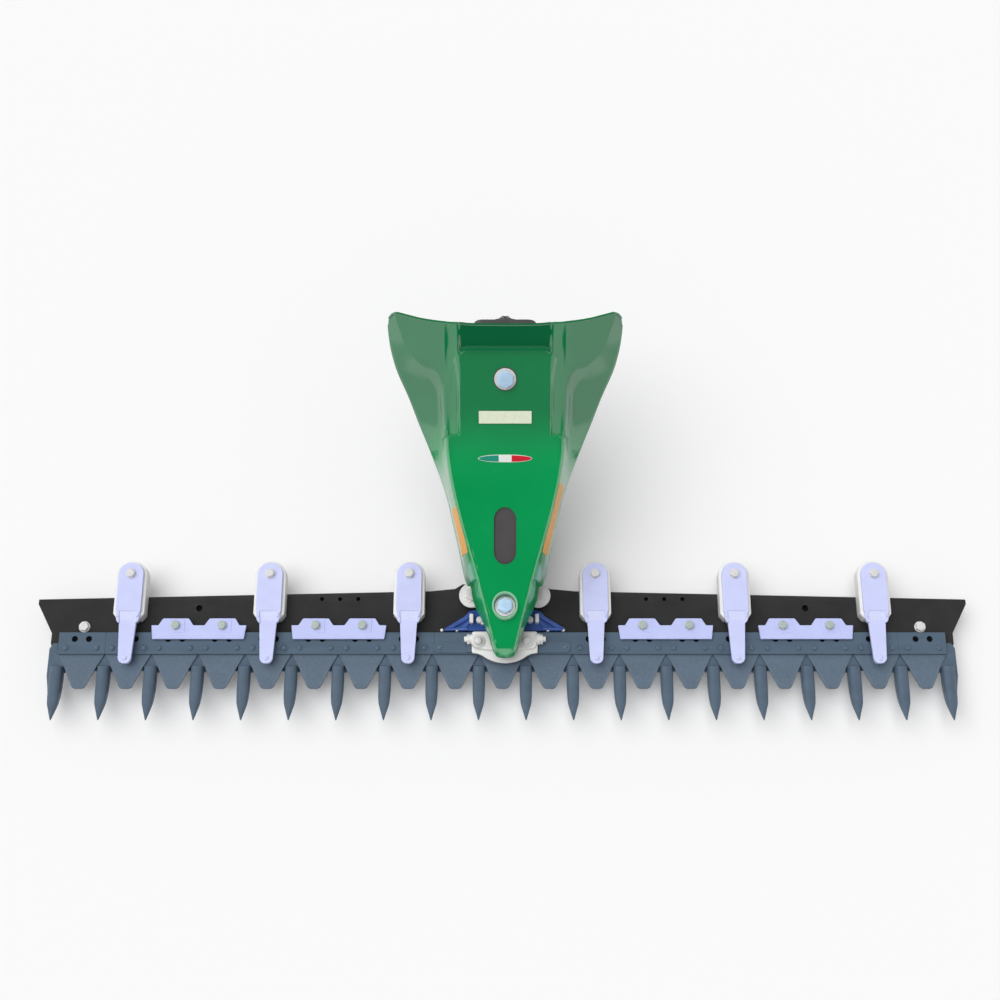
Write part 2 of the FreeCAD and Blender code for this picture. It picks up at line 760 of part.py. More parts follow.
def skids():
    centre = new_body("centre_skid")
    runner = [
        (-26, 13),
        (-23, 17),
        (-8, "sole_thick"),
        (205, "sole_thick"),
        (205, 100.5),
        (221, 109.8),
        (221, "sole_thick"),
        ("centre_sole_rear - 18", "sole_thick"),
        ("centre_sole_rear - 4", 16),
        ("centre_sole_rear", 13),
        ("centre_sole_rear - 14", 0),
        (-12, 0),
    ]
    pad(centre, "YZ_Plane", "-centre_sole_half", "2 * centre_sole_half", [runner])
    pad(centre, "XY_Plane", "sole_thick", "beam_bottom - sole_thick", [box_outline(-20, 20, 34, 100)])
    pad(centre, "XY_Plane", "beam_bottom - 6", 6, [box_outline(-74, 74, "foot_line - 16", "foot_line + 20")])
    holes = [(f"{side} * foot_half", "foot_line", "foot_bolt_radius + fit_gap") for side in (-1, 1)]
    pocket(centre, "XY_Plane", "beam_bottom + 1", 8, [], holes)
    keep(centre, "centre_skid", "drive_shift")
    for index, name in ((-1, "end_skid_left"), (1, "end_skid_right")):
        body = new_body(name)
        runner = [
            (-26, 13),
            (-22, 18),
            (-14, "root_bottom"),
            ("root_rear + 1", "root_bottom"),
            ("root_rear + 1", "beam_bottom"),
            (52, "beam_bottom"),
            (52, "sole_thick"),
            (66, "sole_thick"),
            (80, 16),
            (84, 12),
            (70, 0),
            (-12, 0),
        ]
        pad(body, "YZ_Plane", "-end_skid_half", "2 * end_skid_half", [runner])
        hole = (0, "end_bolt_line", "end_bolt_radius + fit_gap")
        pocket(body, "XY_Plane", "beam_bottom + 1", 16, [], [hole])
        keep(body, name, f"{index} * 9 * pitch")
    bolts = []
    for side in (-1, 1):
        x = f"{side} * 9 * pitch"
        bolts.append(bolt(x, "end_bolt_line", "beam_top", "beam_bottom - 12",
                          shank="end_bolt_radius", across=15, washer=9.5))
    keep(group(bolts), "end_bolts")


# Each station across the hood: its line, the half widths of the raised top, of the fold and of the
# lower edge, how far the fold and the lower edge lie below the top, and how far the middle is sunk.
HOOD_STATIONS = [
    (-23, 7, 9, 11, 1, 12, 0),
    (-18, 11, 13.4, 15.5, 1.5, 14, 0),
    (-10, 15.4, 17.6, 19.2, 1.6, 17, 0),
    (5, 19, 22, 23.8, 1.8, 21, 0),
    (28, 25.5, 28.4, 33, 2, 28, 0),
    (49, 31.5, 34.4, 44.4, 2, 35, 0),
    (60, 34.5, 37.5, 49, 2, 38, 0),
    (80, 40.5, 43.5, 53.5, 2, 42, 0),
    (86, 42, 45, 59.4, 2, 43, 0),
    (102, 47, 49.8, 65.2, 2, 45, 0),
    (135, 56.5, 59.6, 72.6, 2, 48, 0),
    (200, 72.8, 76, 88.6, 2.5, 50, 0),
    (241, 80.5, 83.6, 103, 3, 51, 0),
    (279, 83.5, 88, 119.6, 5, 52, 0),
    (310, 82, 94, 134, 11, 52, 0),
    (341, 80, 104, 147.6, 17, 51, 0),
    (377, 77, 128, 165, 22, 47, 0),
    (385, 76, 134, 169, 23, 46, 12),
    (404, 76, 148, 174, 26, 46, 9),
    (417, 76, 156, 177, 29, 46, 2),
    (436, 76, 165, 178.6, 28, 42, 0),
    (446, 76, 168, 178.6, 28, 40, 0),
]


def hood_profile(station, inset):
    """Half of the hood's cross-section at a station, from the lower edge up to the raised top."""
    line, raised, fold, skirt, fold_drop, skirt_drop, sunk = station
    outside = number(hood_height(line))
    top = outside - inset * math.hypot(1, number("hood_slope"))
    low = max(outside - skirt_drop, number("hood_low"))
    step = min(4, max(0.5, fold - raised - 1.6))
    return [
        (skirt - inset, low),
        (fold - inset, top - fold_drop),
        (raised + step - inset / 2, top - fold_drop / 2),
        (raised - inset / 2, top - sunk),
    ]


def hood_section(station, wall):
    """The closed outline of the cover's wall at a station."""
    outer = hood_profile(station, 0)
    inner = hood_profile(station, wall)
    right = outer + [(-x, z) for x, z in reversed(outer)]
    left = [(-x, z) for x, z in inner] + list(reversed(inner))
    corners = [Vector(x, station[0], z) for x, z in right + left]
    return Part.makePolygon(corners + corners[:1])


def hood_front():
    """The rounded wall that closes the hood's nose."""
    first = hood_profile(HOOD_STATIONS[0], 0)
    rim = [Vector(x, HOOD_STATIONS[0][0], z) for x, z in first + [(-x, z) for x, z in reversed(first)]]
    tip = [Vector(spot.x * 0.6, number("hood_nose"), spot.z - 1) for spot in rim]
    tip = [Vector(spot.x, spot.y, max(spot.z, number("hood_low"))) for spot in tip]
    return Part.makeLoft([Part.makePolygon(ring + ring[:1]) for ring in (tip, rim)], True, True)


def hood_rear_cut():
    """What is cut away behind the hood, so that its rear edge sweeps back from the middle to the corners."""
    rear = number("hood_rear")
    edge = [(58, rear), (100, rear + 7), (135, rear + 15), (160, rear + 24), (200, rear + 24)]
    corners = edge + [(200, 500), (-200, 500)] + [(-x, y) for x, y in reversed(edge)]
    ring = [Vector(x, y, 200) for x, y in corners]
    return Part.Face(Part.makePolygon(ring + ring[:1])).extrude(Vector(0, 0, 300))


def hood():
    """A pressed cover: a raised sloping top, folds and skirts, narrow over the knife and wide behind."""
    wall = number("hood_wall")
    shell = Part.makeLoft([hood_section(station, wall) for station in HOOD_STATIONS], True, True)
    shell = shell.fuse(hood_front())
    bore = number("hood_bolt_radius + fit_gap")
    line = number("hood_bolt_front_line")
    seat = number("hood_seat")
    shell = shell.fuse(Part.makeCylinder(20.5, 15, Vector(0, line, seat - 11)))
    tools = [
        hood_rear_cut(),
        Part.makeCylinder(17.5, 60, Vector(0, line, seat)),
        Part.makeCylinder(bore, 60, Vector(0, line, seat - 30)),
    ]
    line = number("hood_bolt_rear_line")
    upward = Vector(0, -number("hood_slope"), 1).normalize()
    surface = Vector(0, line, number(hood_height(line)))
    tools.append(Part.makeCylinder(bore, 60, surface - upward * 30, upward))
    half = number("hood_slot_half")
    low = number("hood_slot_low + hood_slot_half")
    high = number("hood_slot_high - hood_slot_half")
    floor = number(hood_height(low)) - 60
    tools += [Part.makeCylinder(half, 200, Vector(0, line, floor)) for line in (low, high)]
    tools.append(Part.makeBox(2 * half, high - low, 200, Vector(-half, low, floor)))
    for tool in tools:
        shell = shell.cut(tool)
    item = DOC.addObject("Part::Feature", "hood")
    item.Shape = max(shell.removeSplitter().Solids, key=lambda solid: solid.Volume)
    keep(item, "hood", "drive_shift")


def hood_bolts():
    """An upright bolt in the hood's front seat, and a tilted one with a spacer under it near the rear."""
    seat = "hood_seat"
    line = "hood_bolt_front_line"
    keep(fused([
        cylinder("hood_washer_radius", seat, f"{seat} + 2.5", 0, line),
        hexagon(22, f"{seat} + 2", f"{seat} + 11", 0, line),
        cylinder("hood_bolt_radius", f"{seat} - 30", f"{seat} + 2", 0, line),
    ]), "hood_bolt_front", "drive_shift")
    rear_bolt = fused([
        cylinder("hood_washer_radius", 0, 2.5),
        hexagon(24, 2, 10),
        cylinder("hood_bolt_radius", "-hood_depth - 8", 2),
    ])
    spacer = tube("hood_spacer_radius", "hood_bolt_radius + fit_gap", "-hood_depth", "-hood_wall")
    for item, label in ((rear_bolt, "hood_bolt_rear"), (spacer, "hood_spacer")):
        tilt(item)
        keep(item, label, "drive_shift")
        bind(item, Placement__Base__y="rivet_line + hood_bolt_rear_line")


def main():
    fill_sheet()
    beam()
    guards()
    knife()
    knife_clamp()
    drive_arm()
    gear_housing()
    coupling()
    bar_bracket()
    clips()
    guides()
    skids()
    hood()
    hood_bolts()
    DOC.recompute()
    check_and_export()


def check_and_export():
    for item in DOC.Objects:
        if "Invalid" in item.State or "Error" in item.State:
            raise RuntimeError(f"{item.Name} ({item.Label}) is {item.State}")
    for item in PARTS:
        if item.Shape.isNull() or not item.Shape.isValid():
            raise RuntimeError(f"{item.Label} has no valid shape")
    os.makedirs("parts", exist_ok=True)
    for item in PARTS:
        item.Shape.exportStep(f"parts/{item.Label}.step")
        box = item.Shape.BoundBox
        print(f"{item.Label:18s} X {box.XMin:8.1f} {box.XMax:8.1f}  Y {box.YMin:7.1f} {box.YMax:7.1f}"
              f"  Z {box.ZMin:6.1f} {box.ZMax:6.1f}  solids {len(item.Shape.Solids)}")


main()
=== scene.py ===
import math

import bmesh
import bpy
from mathutils import Euler, Matrix, Vector


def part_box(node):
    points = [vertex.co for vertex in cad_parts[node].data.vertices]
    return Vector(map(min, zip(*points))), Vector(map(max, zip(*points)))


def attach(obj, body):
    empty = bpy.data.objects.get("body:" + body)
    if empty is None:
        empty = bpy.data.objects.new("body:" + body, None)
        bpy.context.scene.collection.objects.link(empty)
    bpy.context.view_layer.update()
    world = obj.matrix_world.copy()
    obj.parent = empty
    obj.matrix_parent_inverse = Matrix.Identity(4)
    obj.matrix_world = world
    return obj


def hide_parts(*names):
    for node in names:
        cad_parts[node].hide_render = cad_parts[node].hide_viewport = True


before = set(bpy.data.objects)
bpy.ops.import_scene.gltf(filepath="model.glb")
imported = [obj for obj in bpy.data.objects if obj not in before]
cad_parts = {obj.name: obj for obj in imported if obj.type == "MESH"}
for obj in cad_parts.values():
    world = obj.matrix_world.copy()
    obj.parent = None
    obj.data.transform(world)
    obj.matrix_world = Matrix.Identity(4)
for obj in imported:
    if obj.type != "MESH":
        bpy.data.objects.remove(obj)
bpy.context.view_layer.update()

# Everything is drawn in millimetres from the knife's rivet line, with z from the floor,
# and is turned into the frame's metres when its piece is made.
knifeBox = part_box("knife_back")
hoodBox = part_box("hood")
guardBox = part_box("guard_2")
layout = {
    "rivetLine": knifeBox[0].y * 1000 + 10,
    "driveShift": (hoodBox[0].x + hoodBox[1].x) * 500,
    "pitch": (guardBox[1].x - guardBox[0].x + 0.001) * 500,
    "clipSteps": (-8, -5, -2, 2, 5, 8),
    "guideSteps": (-6.5, -3.5, 3.5, 6.5),
}
pitch = layout["pitch"]
shift = layout["driveShift"]
hands = (-1, 1)
print("layout", layout)


# Shapes

def circle(x, y, radius, steps=28, start=0.0):
    angles = [start + 2 * math.pi / steps * i for i in range(steps)]
    return [(x + radius * math.cos(angle), y + radius * math.sin(angle)) for angle in angles]


# A rectangle's corners, each with a radius if one is given.
def oblong(x0, x1, y0, y1, *radius):
    return [(x, y, *radius) for x, y in ((x0, y0), (x1, y0), (x1, y1), (x0, y1))]


# An outline whose corners are (x, y) or (x, y, radius), with each radius drawn as an arc.
def rounded(corners, steps=6):
    points = []
    for index, corner in enumerate(corners):
        here = Vector(corner[:2])
        if len(corner) == 2:
            points.append(tuple(here))
            continue
        back = (Vector(corners[index - 1][:2]) - here).normalized()
        ahead = (Vector(corners[(index + 1) % len(corners)][:2]) - here).normalized()
        half = back.angle(ahead) / 2
        centre = here + (back + ahead).normalized() * corner[2] / math.sin(half)
        start = here + back * corner[2] / math.tan(half) - centre
        sweep = (math.pi - 2 * half) * (1 if back.cross(ahead) < 0 else -1)
        for i in range(steps + 1):
            spoke = start.copy()
            spoke.rotate(Matrix.Rotation(sweep * i / steps, 2))
            points.append(tuple(centre + spoke))
    return points


def mirrored(corners):
    return [*corners, *handed(corners[::-1], -1)]


# Corners stretched across by a factor (-1 turns them to the other hand), then moved.
def handed(corners, factor=1, x=0, y=0):
    return [(corner[0] * factor + x, corner[1] + y, *corner[2:]) for corner in corners]


# A smooth curve without overshoot through (place, value) pairs.
def follow(pairs, place):
    place = min(max(place, pairs[0][0]), pairs[-1][0])
    index = max(i for i in range(len(pairs) - 1) if pairs[i][0] <= place or i == 0)

    def rise(i):
        return (pairs[i + 1][1] - pairs[i][1]) / (pairs[i + 1][0] - pairs[i][0])

    def steep(i):
        if i <= 0:
            return 0
        if i >= len(pairs) - 1:
            return rise(i - 1)
        before, after = rise(i - 1), rise(i)
        return 0 if before * after <= 0 else 2 * before * after / (before + after)

    width = pairs[index + 1][0] - pairs[index][0]
    t = (place - pairs[index][0]) / width
    low, high = pairs[index][1], pairs[index + 1][1]
    return ((1 + 2 * t) * (1 - t) ** 2 * low + t * (1 - t) ** 2 * width * steep(index)
            + t * t * (3 - 2 * t) * high + t * t * (t - 1) * width * steep(index + 1))


def eased(value, low, high):
    t = min(1, max(0, (value - low) / (high - low)))
    return t * t * (3 - 2 * t)


def meshOf(form):
    mesh = bpy.data.meshes.new("part")
    form.to_mesh(mesh)
    form.free()
    return mesh


# A flat plate between two heights with softened edges; each hole is an outline.
def plate(outline, low, high, edge=0.5, holes=(), steps=1):
    curve = bpy.data.curves.new("plate", "CURVE")
    curve.dimensions = "2D"
    curve.fill_mode = "BOTH"
    curve.extrude = (high - low) / 2 - edge
    curve.bevel_depth = edge
    curve.bevel_resolution = steps
    curve.offset = -edge
    for ring in [outline, *holes]:
        spline = curve.splines.new("POLY")
        spline.points.add(len(ring) - 1)
        for point, spot in zip(spline.points, ring):
            point.co = (*spot[:2], 0, 1)
        spline.use_cyclic_u = True
    holder = bpy.data.objects.new("plate", curve)
    form = bmesh.new()
    form.from_mesh(bpy.data.meshes.new_from_object(holder))
    bpy.data.objects.remove(holder)
    form.transform(shiftBy(0, 0, (low + high) / 2))
    bmesh.ops.remove_doubles(form, verts=form.verts, dist=1e-4)
    return meshOf(form)


# Rings of points joined into a skin, closed round each ring, with both ends capped.
def loft(rings):
    form = bmesh.new()
    rows = [[form.verts.new(point) for point in ring] for ring in rings]
    for lower, upper in zip(rows, rows[1:]):
        for i in range(len(lower)):
            j = (i + 1) % len(lower)
            form.faces.new((lower[i], lower[j], upper[j], upper[i]))
    form.faces.new(rows[0][::-1])
    form.faces.new(rows[-1])
    bmesh.ops.remove_doubles(form, verts=form.verts, dist=1e-4)
    bmesh.ops.recalc_face_normals(form, faces=form.faces)
    return meshOf(form)


# A turned shape: the profile lists (radius, height) from the bottom centre to the top centre.
def turned(profile, x=0, y=0, steps=32, lift=0):
    rings = []
    for radius, high in profile:
        rings.append([Vector((*spot, high + lift)) for spot in circle(x, y, max(radius, 0.01), steps)])
    return loft(rings)


# An outline in (y, z) drawn out across the machine.
def prism(outline, x0, x1):
    return loft([[Vector((x, y, z)) for y, z in outline] for x in (x0, x1)])


# A hexagon head with the round chamfer that turning leaves on its corners.
def hexHead(across, low, high, dome=0.0):
    rings = []
    inner = across / 2
    levels = ((low, False, 1), (high, True, 1), (high, False, 0.94), (high + dome, False, 0.5))
    for height, chamfered, shrink in levels:
        ring = []
        for i in range(36):
            angle = math.radians(10 * i)
            reach = inner / math.cos((angle + math.pi / 6) % (math.pi / 3) - math.pi / 6)
            drop = (reach - inner * 0.94) * 0.6 if chamfered else 0
            radius = reach if chamfered or shrink == 1 else inner * shrink
            ring.append(Vector((radius * math.cos(angle), radius * math.sin(angle), height - drop)))
        rings.append(ring)
    return loft(rings)


def washer(outer, inner, low, high, x=0, y=0):
    return plate(circle(x, y, outer), low, high, min(0.4, (high - low) / 3), [circle(x, y, inner)])


def joined(meshes):
    form = bmesh.new()
    for mesh in meshes:
        form.from_mesh(mesh)
    return meshOf(form)


def placed(mesh, matrix):
    mesh.transform(matrix)
    if matrix.is_negative:
        mesh.flip_normals()
    return mesh


def copyOf(mesh, matrix):
    return placed(mesh.copy(), matrix)


def shiftBy(x=0, y=0, z=0):
    return Matrix.Translation((x, y, z))


# Turns an upright shape to point across the machine, to the left or to the right.
def pointing(hand):
    return Matrix.Rotation(hand * math.pi / 2, 4, "Y")


# The mesh after one modifier has been worked out and applied.
def modified(mesh, kind, extra=None, **settings):
    holder = bpy.data.objects.new("holder", mesh)
    bpy.context.collection.objects.link(holder)
    modifier = holder.modifiers.new("step", kind)
    for name, value in settings.items():
        setattr(modifier, name, value)
    cutter = None
    if extra is not None:
        cutter = bpy.data.objects.new("cutter", extra)
        bpy.context.collection.objects.link(cutter)
        modifier.object = cutter
    seen = holder.evaluated_get(bpy.context.evaluated_depsgraph_get())
    result = bpy.data.meshes.new_from_object(seen)
    bpy.data.objects.remove(holder)
    if cutter:
        bpy.data.objects.remove(cutter)
    return result


def cut(mesh, tool):
    return modified(mesh, "BOOLEAN", extra=tool, operation="DIFFERENCE", solver="EXACT")


def softened(mesh, width, segments=2, angle=30):
    return modified(mesh, "BEVEL", width=width, segments=segments, limit_method="ANGLE",
                    angle_limit=math.radians(angle), use_clamp_overlap=True)


# A merged copy of a CAD node, in millimetres from the rivet line.
def cadCopy(node):
    form = bmesh.new()
    form.from_mesh(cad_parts[node].data)
    bmesh.ops.remove_doubles(form, verts=form.verts, dist=2e-5)
    bmesh.ops.dissolve_limit(form, angle_limit=math.radians(1), verts=form.verts, edges=form.edges)
    form.transform(shiftBy(0, -layout["rivetLine"]) @ Matrix.Scale(1000, 4))
    return meshOf(form)


# Geometry Nodes tree that sets a shape on every point of a mesh, each turned at random,
# and makes the result real.
def repeatTree():
    tree = bpy.data.node_groups.new("repeatOnPoints", "GeometryNodeTree")
    for name, kind in (("Points", "Geometry"), ("Shape", "Object"), ("Turn", "Float"), ("Seed", "Int")):
        tree.interface.new_socket(name, in_out="INPUT", socket_type="NodeSocket" + kind)
    tree.interface.new_socket("Result", in_out="OUTPUT", socket_type="NodeSocketGeometry")
    make = tree.nodes.new
    link = tree.links.new
    source = make("NodeGroupInput").outputs
    shape = make("GeometryNodeObjectInfo")
    link(source["Shape"], shape.inputs["Object"])
    lowest = make("ShaderNodeMath")
    lowest.operation = "MULTIPLY"
    lowest.inputs[1].default_value = -1
    link(source["Turn"], lowest.inputs[0])
    spread = make("FunctionNodeRandomValue")
    link(lowest.outputs[0], spread.inputs[2])
    link(source["Turn"], spread.inputs[3])
    link(source["Seed"], spread.inputs["Seed"])
    spin = make("ShaderNodeCombineXYZ")
    link(spread.outputs[1], spin.inputs["Z"])
    copies = make("GeometryNodeInstanceOnPoints")
    link(source["Points"], copies.inputs["Points"])
    link(shape.outputs["Geometry"], copies.inputs["Instance"])
    link(spin.outputs[0], copies.inputs["Rotation"])
    real = make("GeometryNodeRealizeInstances")
    link(copies.outputs[0], real.inputs[0])
    link(real.outputs[0], make("NodeGroupOutput").inputs[0])
    return tree


repeatOnPoints = repeatTree()


# One mesh of the shape repeated across a line, each copy turned at random by up to so many degrees.
def repeated(shape, places, line, turn=0, seed=1):
    points = bpy.data.meshes.new("points")
    points.from_pydata([(x, line, 0) for x in places], [], [])
    source = bpy.data.objects.new("shape", shape)
    holder = bpy.data.objects.new("holder", points)
    bpy.context.collection.objects.link(holder)
    modifier = holder.modifiers.new("repeat", "NODES")
    modifier.node_group = repeatOnPoints
    wanted = {"Shape": source, "Turn": math.radians(turn), "Seed": seed}
    for item in repeatOnPoints.interface.items_tree:
        if item.name in wanted:
            modifier[item.identifier] = wanted[item.name]
    seen = holder.evaluated_get(bpy.context.evaluated_depsgraph_get())
    result = bpy.data.meshes.new_from_object(seen)
    bpy.data.objects.remove(holder)
    bpy.data.objects.remove(source)
    return result


# Finishes

# A shader value that takes part in sums, so that expressions on it add Math nodes.
class Term:
    def __init__(self, nodes, socket):
        self.nodes = nodes
        self.socket = socket

    def maths(self, operation, *terms):
        return self.nodes.node("ShaderNodeMath", {"operation": operation}, dict(enumerate(terms)))

    def __add__(self, other):
        return self.maths("ADD", self, other)

    def __sub__(self, other):
        return self.maths("SUBTRACT", self, other)

    def __rsub__(self, other):
        return self.maths("SUBTRACT", other, self)

    def __mul__(self, other):
        return self.maths("MULTIPLY", self, other)

    def __abs__(self):
        return self.maths("ABSOLUTE", self)

    # A soft step: by default 0 below the low value and 1 above the high one
    def ramp(self, low, high, first=0.0, last=1.0):
        values = {"Value": self, "From Min": low, "From Max": high, "To Min": first, "To Max": last}
        return self.nodes.node("ShaderNodeMapRange", {"interpolation_type": "SMOOTHSTEP"}, values)


# The nodes of a material or of the world, and the one method that adds to them.
class Nodes:
    def __init__(self, owner):
        owner.use_nodes = True
        self.tree = owner.node_tree

    def node(self, kind, settings=None, values=None, output=0):
        made = self.tree.nodes.new(kind)
        for name, value in (settings or {}).items():
            setattr(made, name, value)
        for name, value in (values or {}).items():
            if isinstance(value, Term):
                self.tree.links.new(value.socket, made.inputs[name])
            else:
                made.inputs[name].default_value = value
        return Term(self, made.outputs[output]) if made.outputs else None


# A material under way, with the slot it stands for and its shader.
class Finish(Nodes):
    def __init__(self, name, slot, colour, roughness, **constants):
        self.slot = slot
        self.material = bpy.data.materials.new(name)
        self.material.diffuse_color = (*colour, 1)
        super().__init__(self.material)
        self.shader = self.tree.nodes["Principled BSDF"]
        self.shader.inputs["Base Color"].default_value = (*colour, 1)
        self.shader.inputs["Roughness"].default_value = roughness
        for socket, value in constants.items():
            self.shader.inputs[socket.replace("_", " ")].default_value = value
        self.place = self.node("ShaderNodeTexCoord", output="Object")

    def send(self, term, socket):
        self.tree.links.new(term.socket, self.shader.inputs[socket])

    # Noise about 0, in features of a size in millimetres, stretched along the axes
    def noise(self, size, detail=3.0, stretch=(1, 1, 1)):
        scales = [1000 / (size * ratio) for ratio in stretch]
        place = self.node("ShaderNodeVectorMath", {"operation": "MULTIPLY"}, {0: self.place, 1: scales})
        values = {"Vector": place, "Scale": 1.0, "Detail": detail}
        return self.node("ShaderNodeTexNoise", values=values) - 0.5

    def mix(self, factor, first, second):
        colours = {6: first, 7: second}
        colours = {key: value if isinstance(value, Term) else (*value, 1) for key, value in colours.items()}
        return self.node("ShaderNodeMix", {"data_type": "RGBA"}, {0: factor, **colours}, output=2)

    # The place along an axis in millimetres: 0 across, 1 to the rear, 2 up
    def along(self, axis):
        return self.node("ShaderNodeSeparateXYZ", values={0: self.place}, output=axis) * 1000

    # Bump, with the height in millimetres
    def relief(self, height):
        values = {"Height": height, "Distance": 0.001, "Strength": 1.0}
        self.send(self.node("ShaderNodeBump", values=values), "Normal")


wear = {"from": 0.53, "full": 0.60, "ragged": 0.06, "ragSize": 3}


# Painted or plated metal: mottled tone, grainy surface, uneven gloss, and paler worn edges.
# Grain and lumps are (size, height) in millimetres, and worn is (colour, strength).
def coated(name, slot, colour, roughness, tone=0.10, mottle=30, grain=(0.8, 0.02), lumps=(9, 0.05),
           gloss=0.12, worn=None, streak=(1, 1, 1), **constants):
    finish = Finish(name, slot, colour, roughness, **constants)
    broad = finish.noise(mottle, 4, streak)
    fine = finish.noise(grain[0], 2)
    dark = [channel * (1 - tone) for channel in colour]
    light = [min(1, channel * (1 + tone)) for channel in colour]
    paint = finish.mix((broad * 1.6 + fine * 0.5 + 0.5).ramp(0, 1), dark, light)
    if worn:
        edge = finish.node("ShaderNodeNewGeometry", output="Pointiness")
        edge = (edge + finish.noise(wear["ragSize"]) * wear["ragged"]).ramp(wear["from"], wear["full"])
        paint = finish.mix(edge * worn[1], paint, worn[0])
    finish.send(paint, "Base Color")
    finish.send(broad * gloss + fine * gloss + roughness, "Roughness")
    finish.relief(fine * grain[1] + finish.noise(lumps[0], 3) * lumps[1])
    return finish


# painted shade: the black of the discs that fill holes so that they look dark inside
holeShadeBlack = coated("holeShadeBlack", "beam_paint", (0.004, 0.004, 0.004), 0.7, mottle=8)
knifeSteel = coated("knifeSteel", "knife_steel", (0.086, 0.130, 0.182), 0.46, tone=0.09, mottle=16,
                    streak=(5, 1, 1), grain=(0.5, 0.015), lumps=(12, 0.03), worn=((0.20, 0.25, 0.31), 0.5))
clipLilac = coated("clipLilac", "clip_lilac", (0.610, 0.650, 0.955), 0.36, tone=0.035, mottle=22,
                   grain=(0.6, 0.01), lumps=(12, 0.03), worn=((0.90, 0.92, 1.0), 0.35))
clipWhite = coated("clipWhite", "clip_white", (0.82, 0.82, 0.80), 0.40, tone=0.04, mottle=20,
                   grain=(0.8, 0.03), lumps=(6, 0.06))
housingGrey = coated("housingGrey", "housing_grey", (0.076, 0.073, 0.073), 0.50, tone=0.12, mottle=26,
                     grain=(1.0, 0.10), lumps=(7, 0.14), worn=((0.20, 0.20, 0.20), 0.4))
boltZinc = coated("boltZinc", "bolt_zinc", (0.56, 0.63, 0.60), 0.36, mottle=3, grain=(0.5, 0.01),
                  lumps=(2, 0.01), Metallic=0.35)
boltPale = coated("boltPale", "bolt_zinc", (0.76, 0.75, 0.745), 0.36, tone=0.06, mottle=4,
                  grain=(0.5, 0.01), lumps=(3, 0.01), Metallic=0.15)
print("finishes made")


# A finished piece: drawn in millimetres, kept in the frame's metres, riding on a body.
def makePiece(name, meshes, finish, nodes=(), body="bar", angle=38):
    mesh = joined(meshes)
    mesh.shade_smooth()
    mesh.set_sharp_from_angle(angle=math.radians(angle))
    mesh = modified(mesh, "WEIGHTED_NORMAL", keep_sharp=True)
    mesh.transform(Matrix.Scale(0.001, 4) @ shiftBy(0, layout["rivetLine"]))
    mesh.name = name
    mesh.materials.clear()
    mesh.materials.append(finish.material)
    piece = bpy.data.objects.new(name, mesh)
    bpy.context.scene.collection.objects.link(piece)
    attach(piece, body)
    if nodes:
        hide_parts(*nodes)


# Cutter beam

beam = {
    "low": 30,
    "high": 40,
    "waist": (739, 8, 27),          # half width, front and rear of the straight end
    "rearEnd": (766, 84),
    "rearMiddle": ((120, 98, 20), (78, 102, 6), (66, 110, 3)),
    "boardHole": (500, 69, 5.2),
    "sideHoles": (268, 30, 84.5, 3.3),
    "edge": 0.8,
}


def makeBeam():
    low, high = beam["low"], beam["high"]
    waist, front, rear = beam["waist"]
    half, end = beam["rearEnd"]
    outline = rounded(mirrored([(waist - 12, -8), (waist, front, 9), (waist, rear, 3), (half, end - 8, 2),
                                (half, end, 1.5), *beam["rearMiddle"]]))
    across, line, radius = beam["boardHole"]
    middle, apart, sideLine, small = beam["sideHoles"]
    holes = []
    for hand in hands:
        holes.append(circle(hand * across, line, radius))
        holes += [circle(hand * (middle + step * apart), sideLine, small, 20) for step in (-1, 0, 1)]
    # painted shade: black discs set low in the beam's holes, in place of the shade inside them
    makePiece("holePlugs", [plate(hole, low + 0.5, low + 4, 0.3) for hole in holes], holeShadeBlack)
    paint = coated("beamPaint", "beam_paint", (0.028, 0.028, 0.028), 0.55, tone=0.14,
                   worn=((0.16, 0.16, 0.16), 0.5), grain=(0.7, 0.03), lumps=(14, 0.05))
    makePiece("cutterBeam", [plate(outline, low, high, beam["edge"], holes)], paint, ["cutter_beam"])


# Guards: cast double fingers on a root plate

guard = {
    "rearEdge": 27,
    "shoeEdge": 740,
    "rootFront": -32,
    "noseFront": -46,
    "root": (22.05, 30, 1.2),       # low, high, edge
    "slot": (-72, 41, 45),          # front, low, high
    "lipRear": -28,
    "round": (0.62, 0.84),          # how square a finger's section is, below or above its middle
    "draft": (0.78, 0.20),
    "rib": ((-5, -60), (5, -60), (7, -20, 3), (-7, -20, 3)),
    # places above 0 count from the outermost finger's middle, the others from the shoe's outer edge
    "shoe": ((2, -74), (11.2, -78, 2), (12.8, -64, 8), (0, -44, 8), (0, 1, 4), (-5.5, 10, 2), (2, 10)),
    "shank": ((0, 30), (3.9, 30), (3.9, 39.6), (3.2, 39.9), (0, 39.9)),
    "nut": (13, 15.6, 22),
    "boltLine": 10,
    "stations": (   # line, half width, top, belly
        (-8, 10.4, 50.5, 22),
        (-28, 10.8, 51.5, 22),
        (-42, 11.2, 52, 22),
        (-54, 11.3, 52, 22.5),
        (-68, 11.1, 52, 25),
        (-80, 10.6, 52, 29),
        (-90, 9.6, 51.8, 34),
        (-94, 8.6, 51.7, 35.5),
        (-101, 6.3, 51.2, 38),
        (-109, 3.7, 50.2, 42),
        (-115, 1.8, 49.2, 45),
        (-118, 0.7, 48.6, 47),
    ),
}


def fingerRing(line, half, top, belly, steps=28):
    square, softer = guard["round"]
    narrow, widening = guard["draft"]
    ring = []
    for across, upward in circle(0, 0, 1, steps):
        x = math.copysign(abs(across) ** (softer if upward > 0 else square), across) * half
        z = math.copysign(abs(upward) ** square, upward) * (top - belly) / 2 + (top + belly) / 2
        ring.append(Vector((x * (narrow + widening * (z - belly) / (top - belly)), line, z)))
    return ring


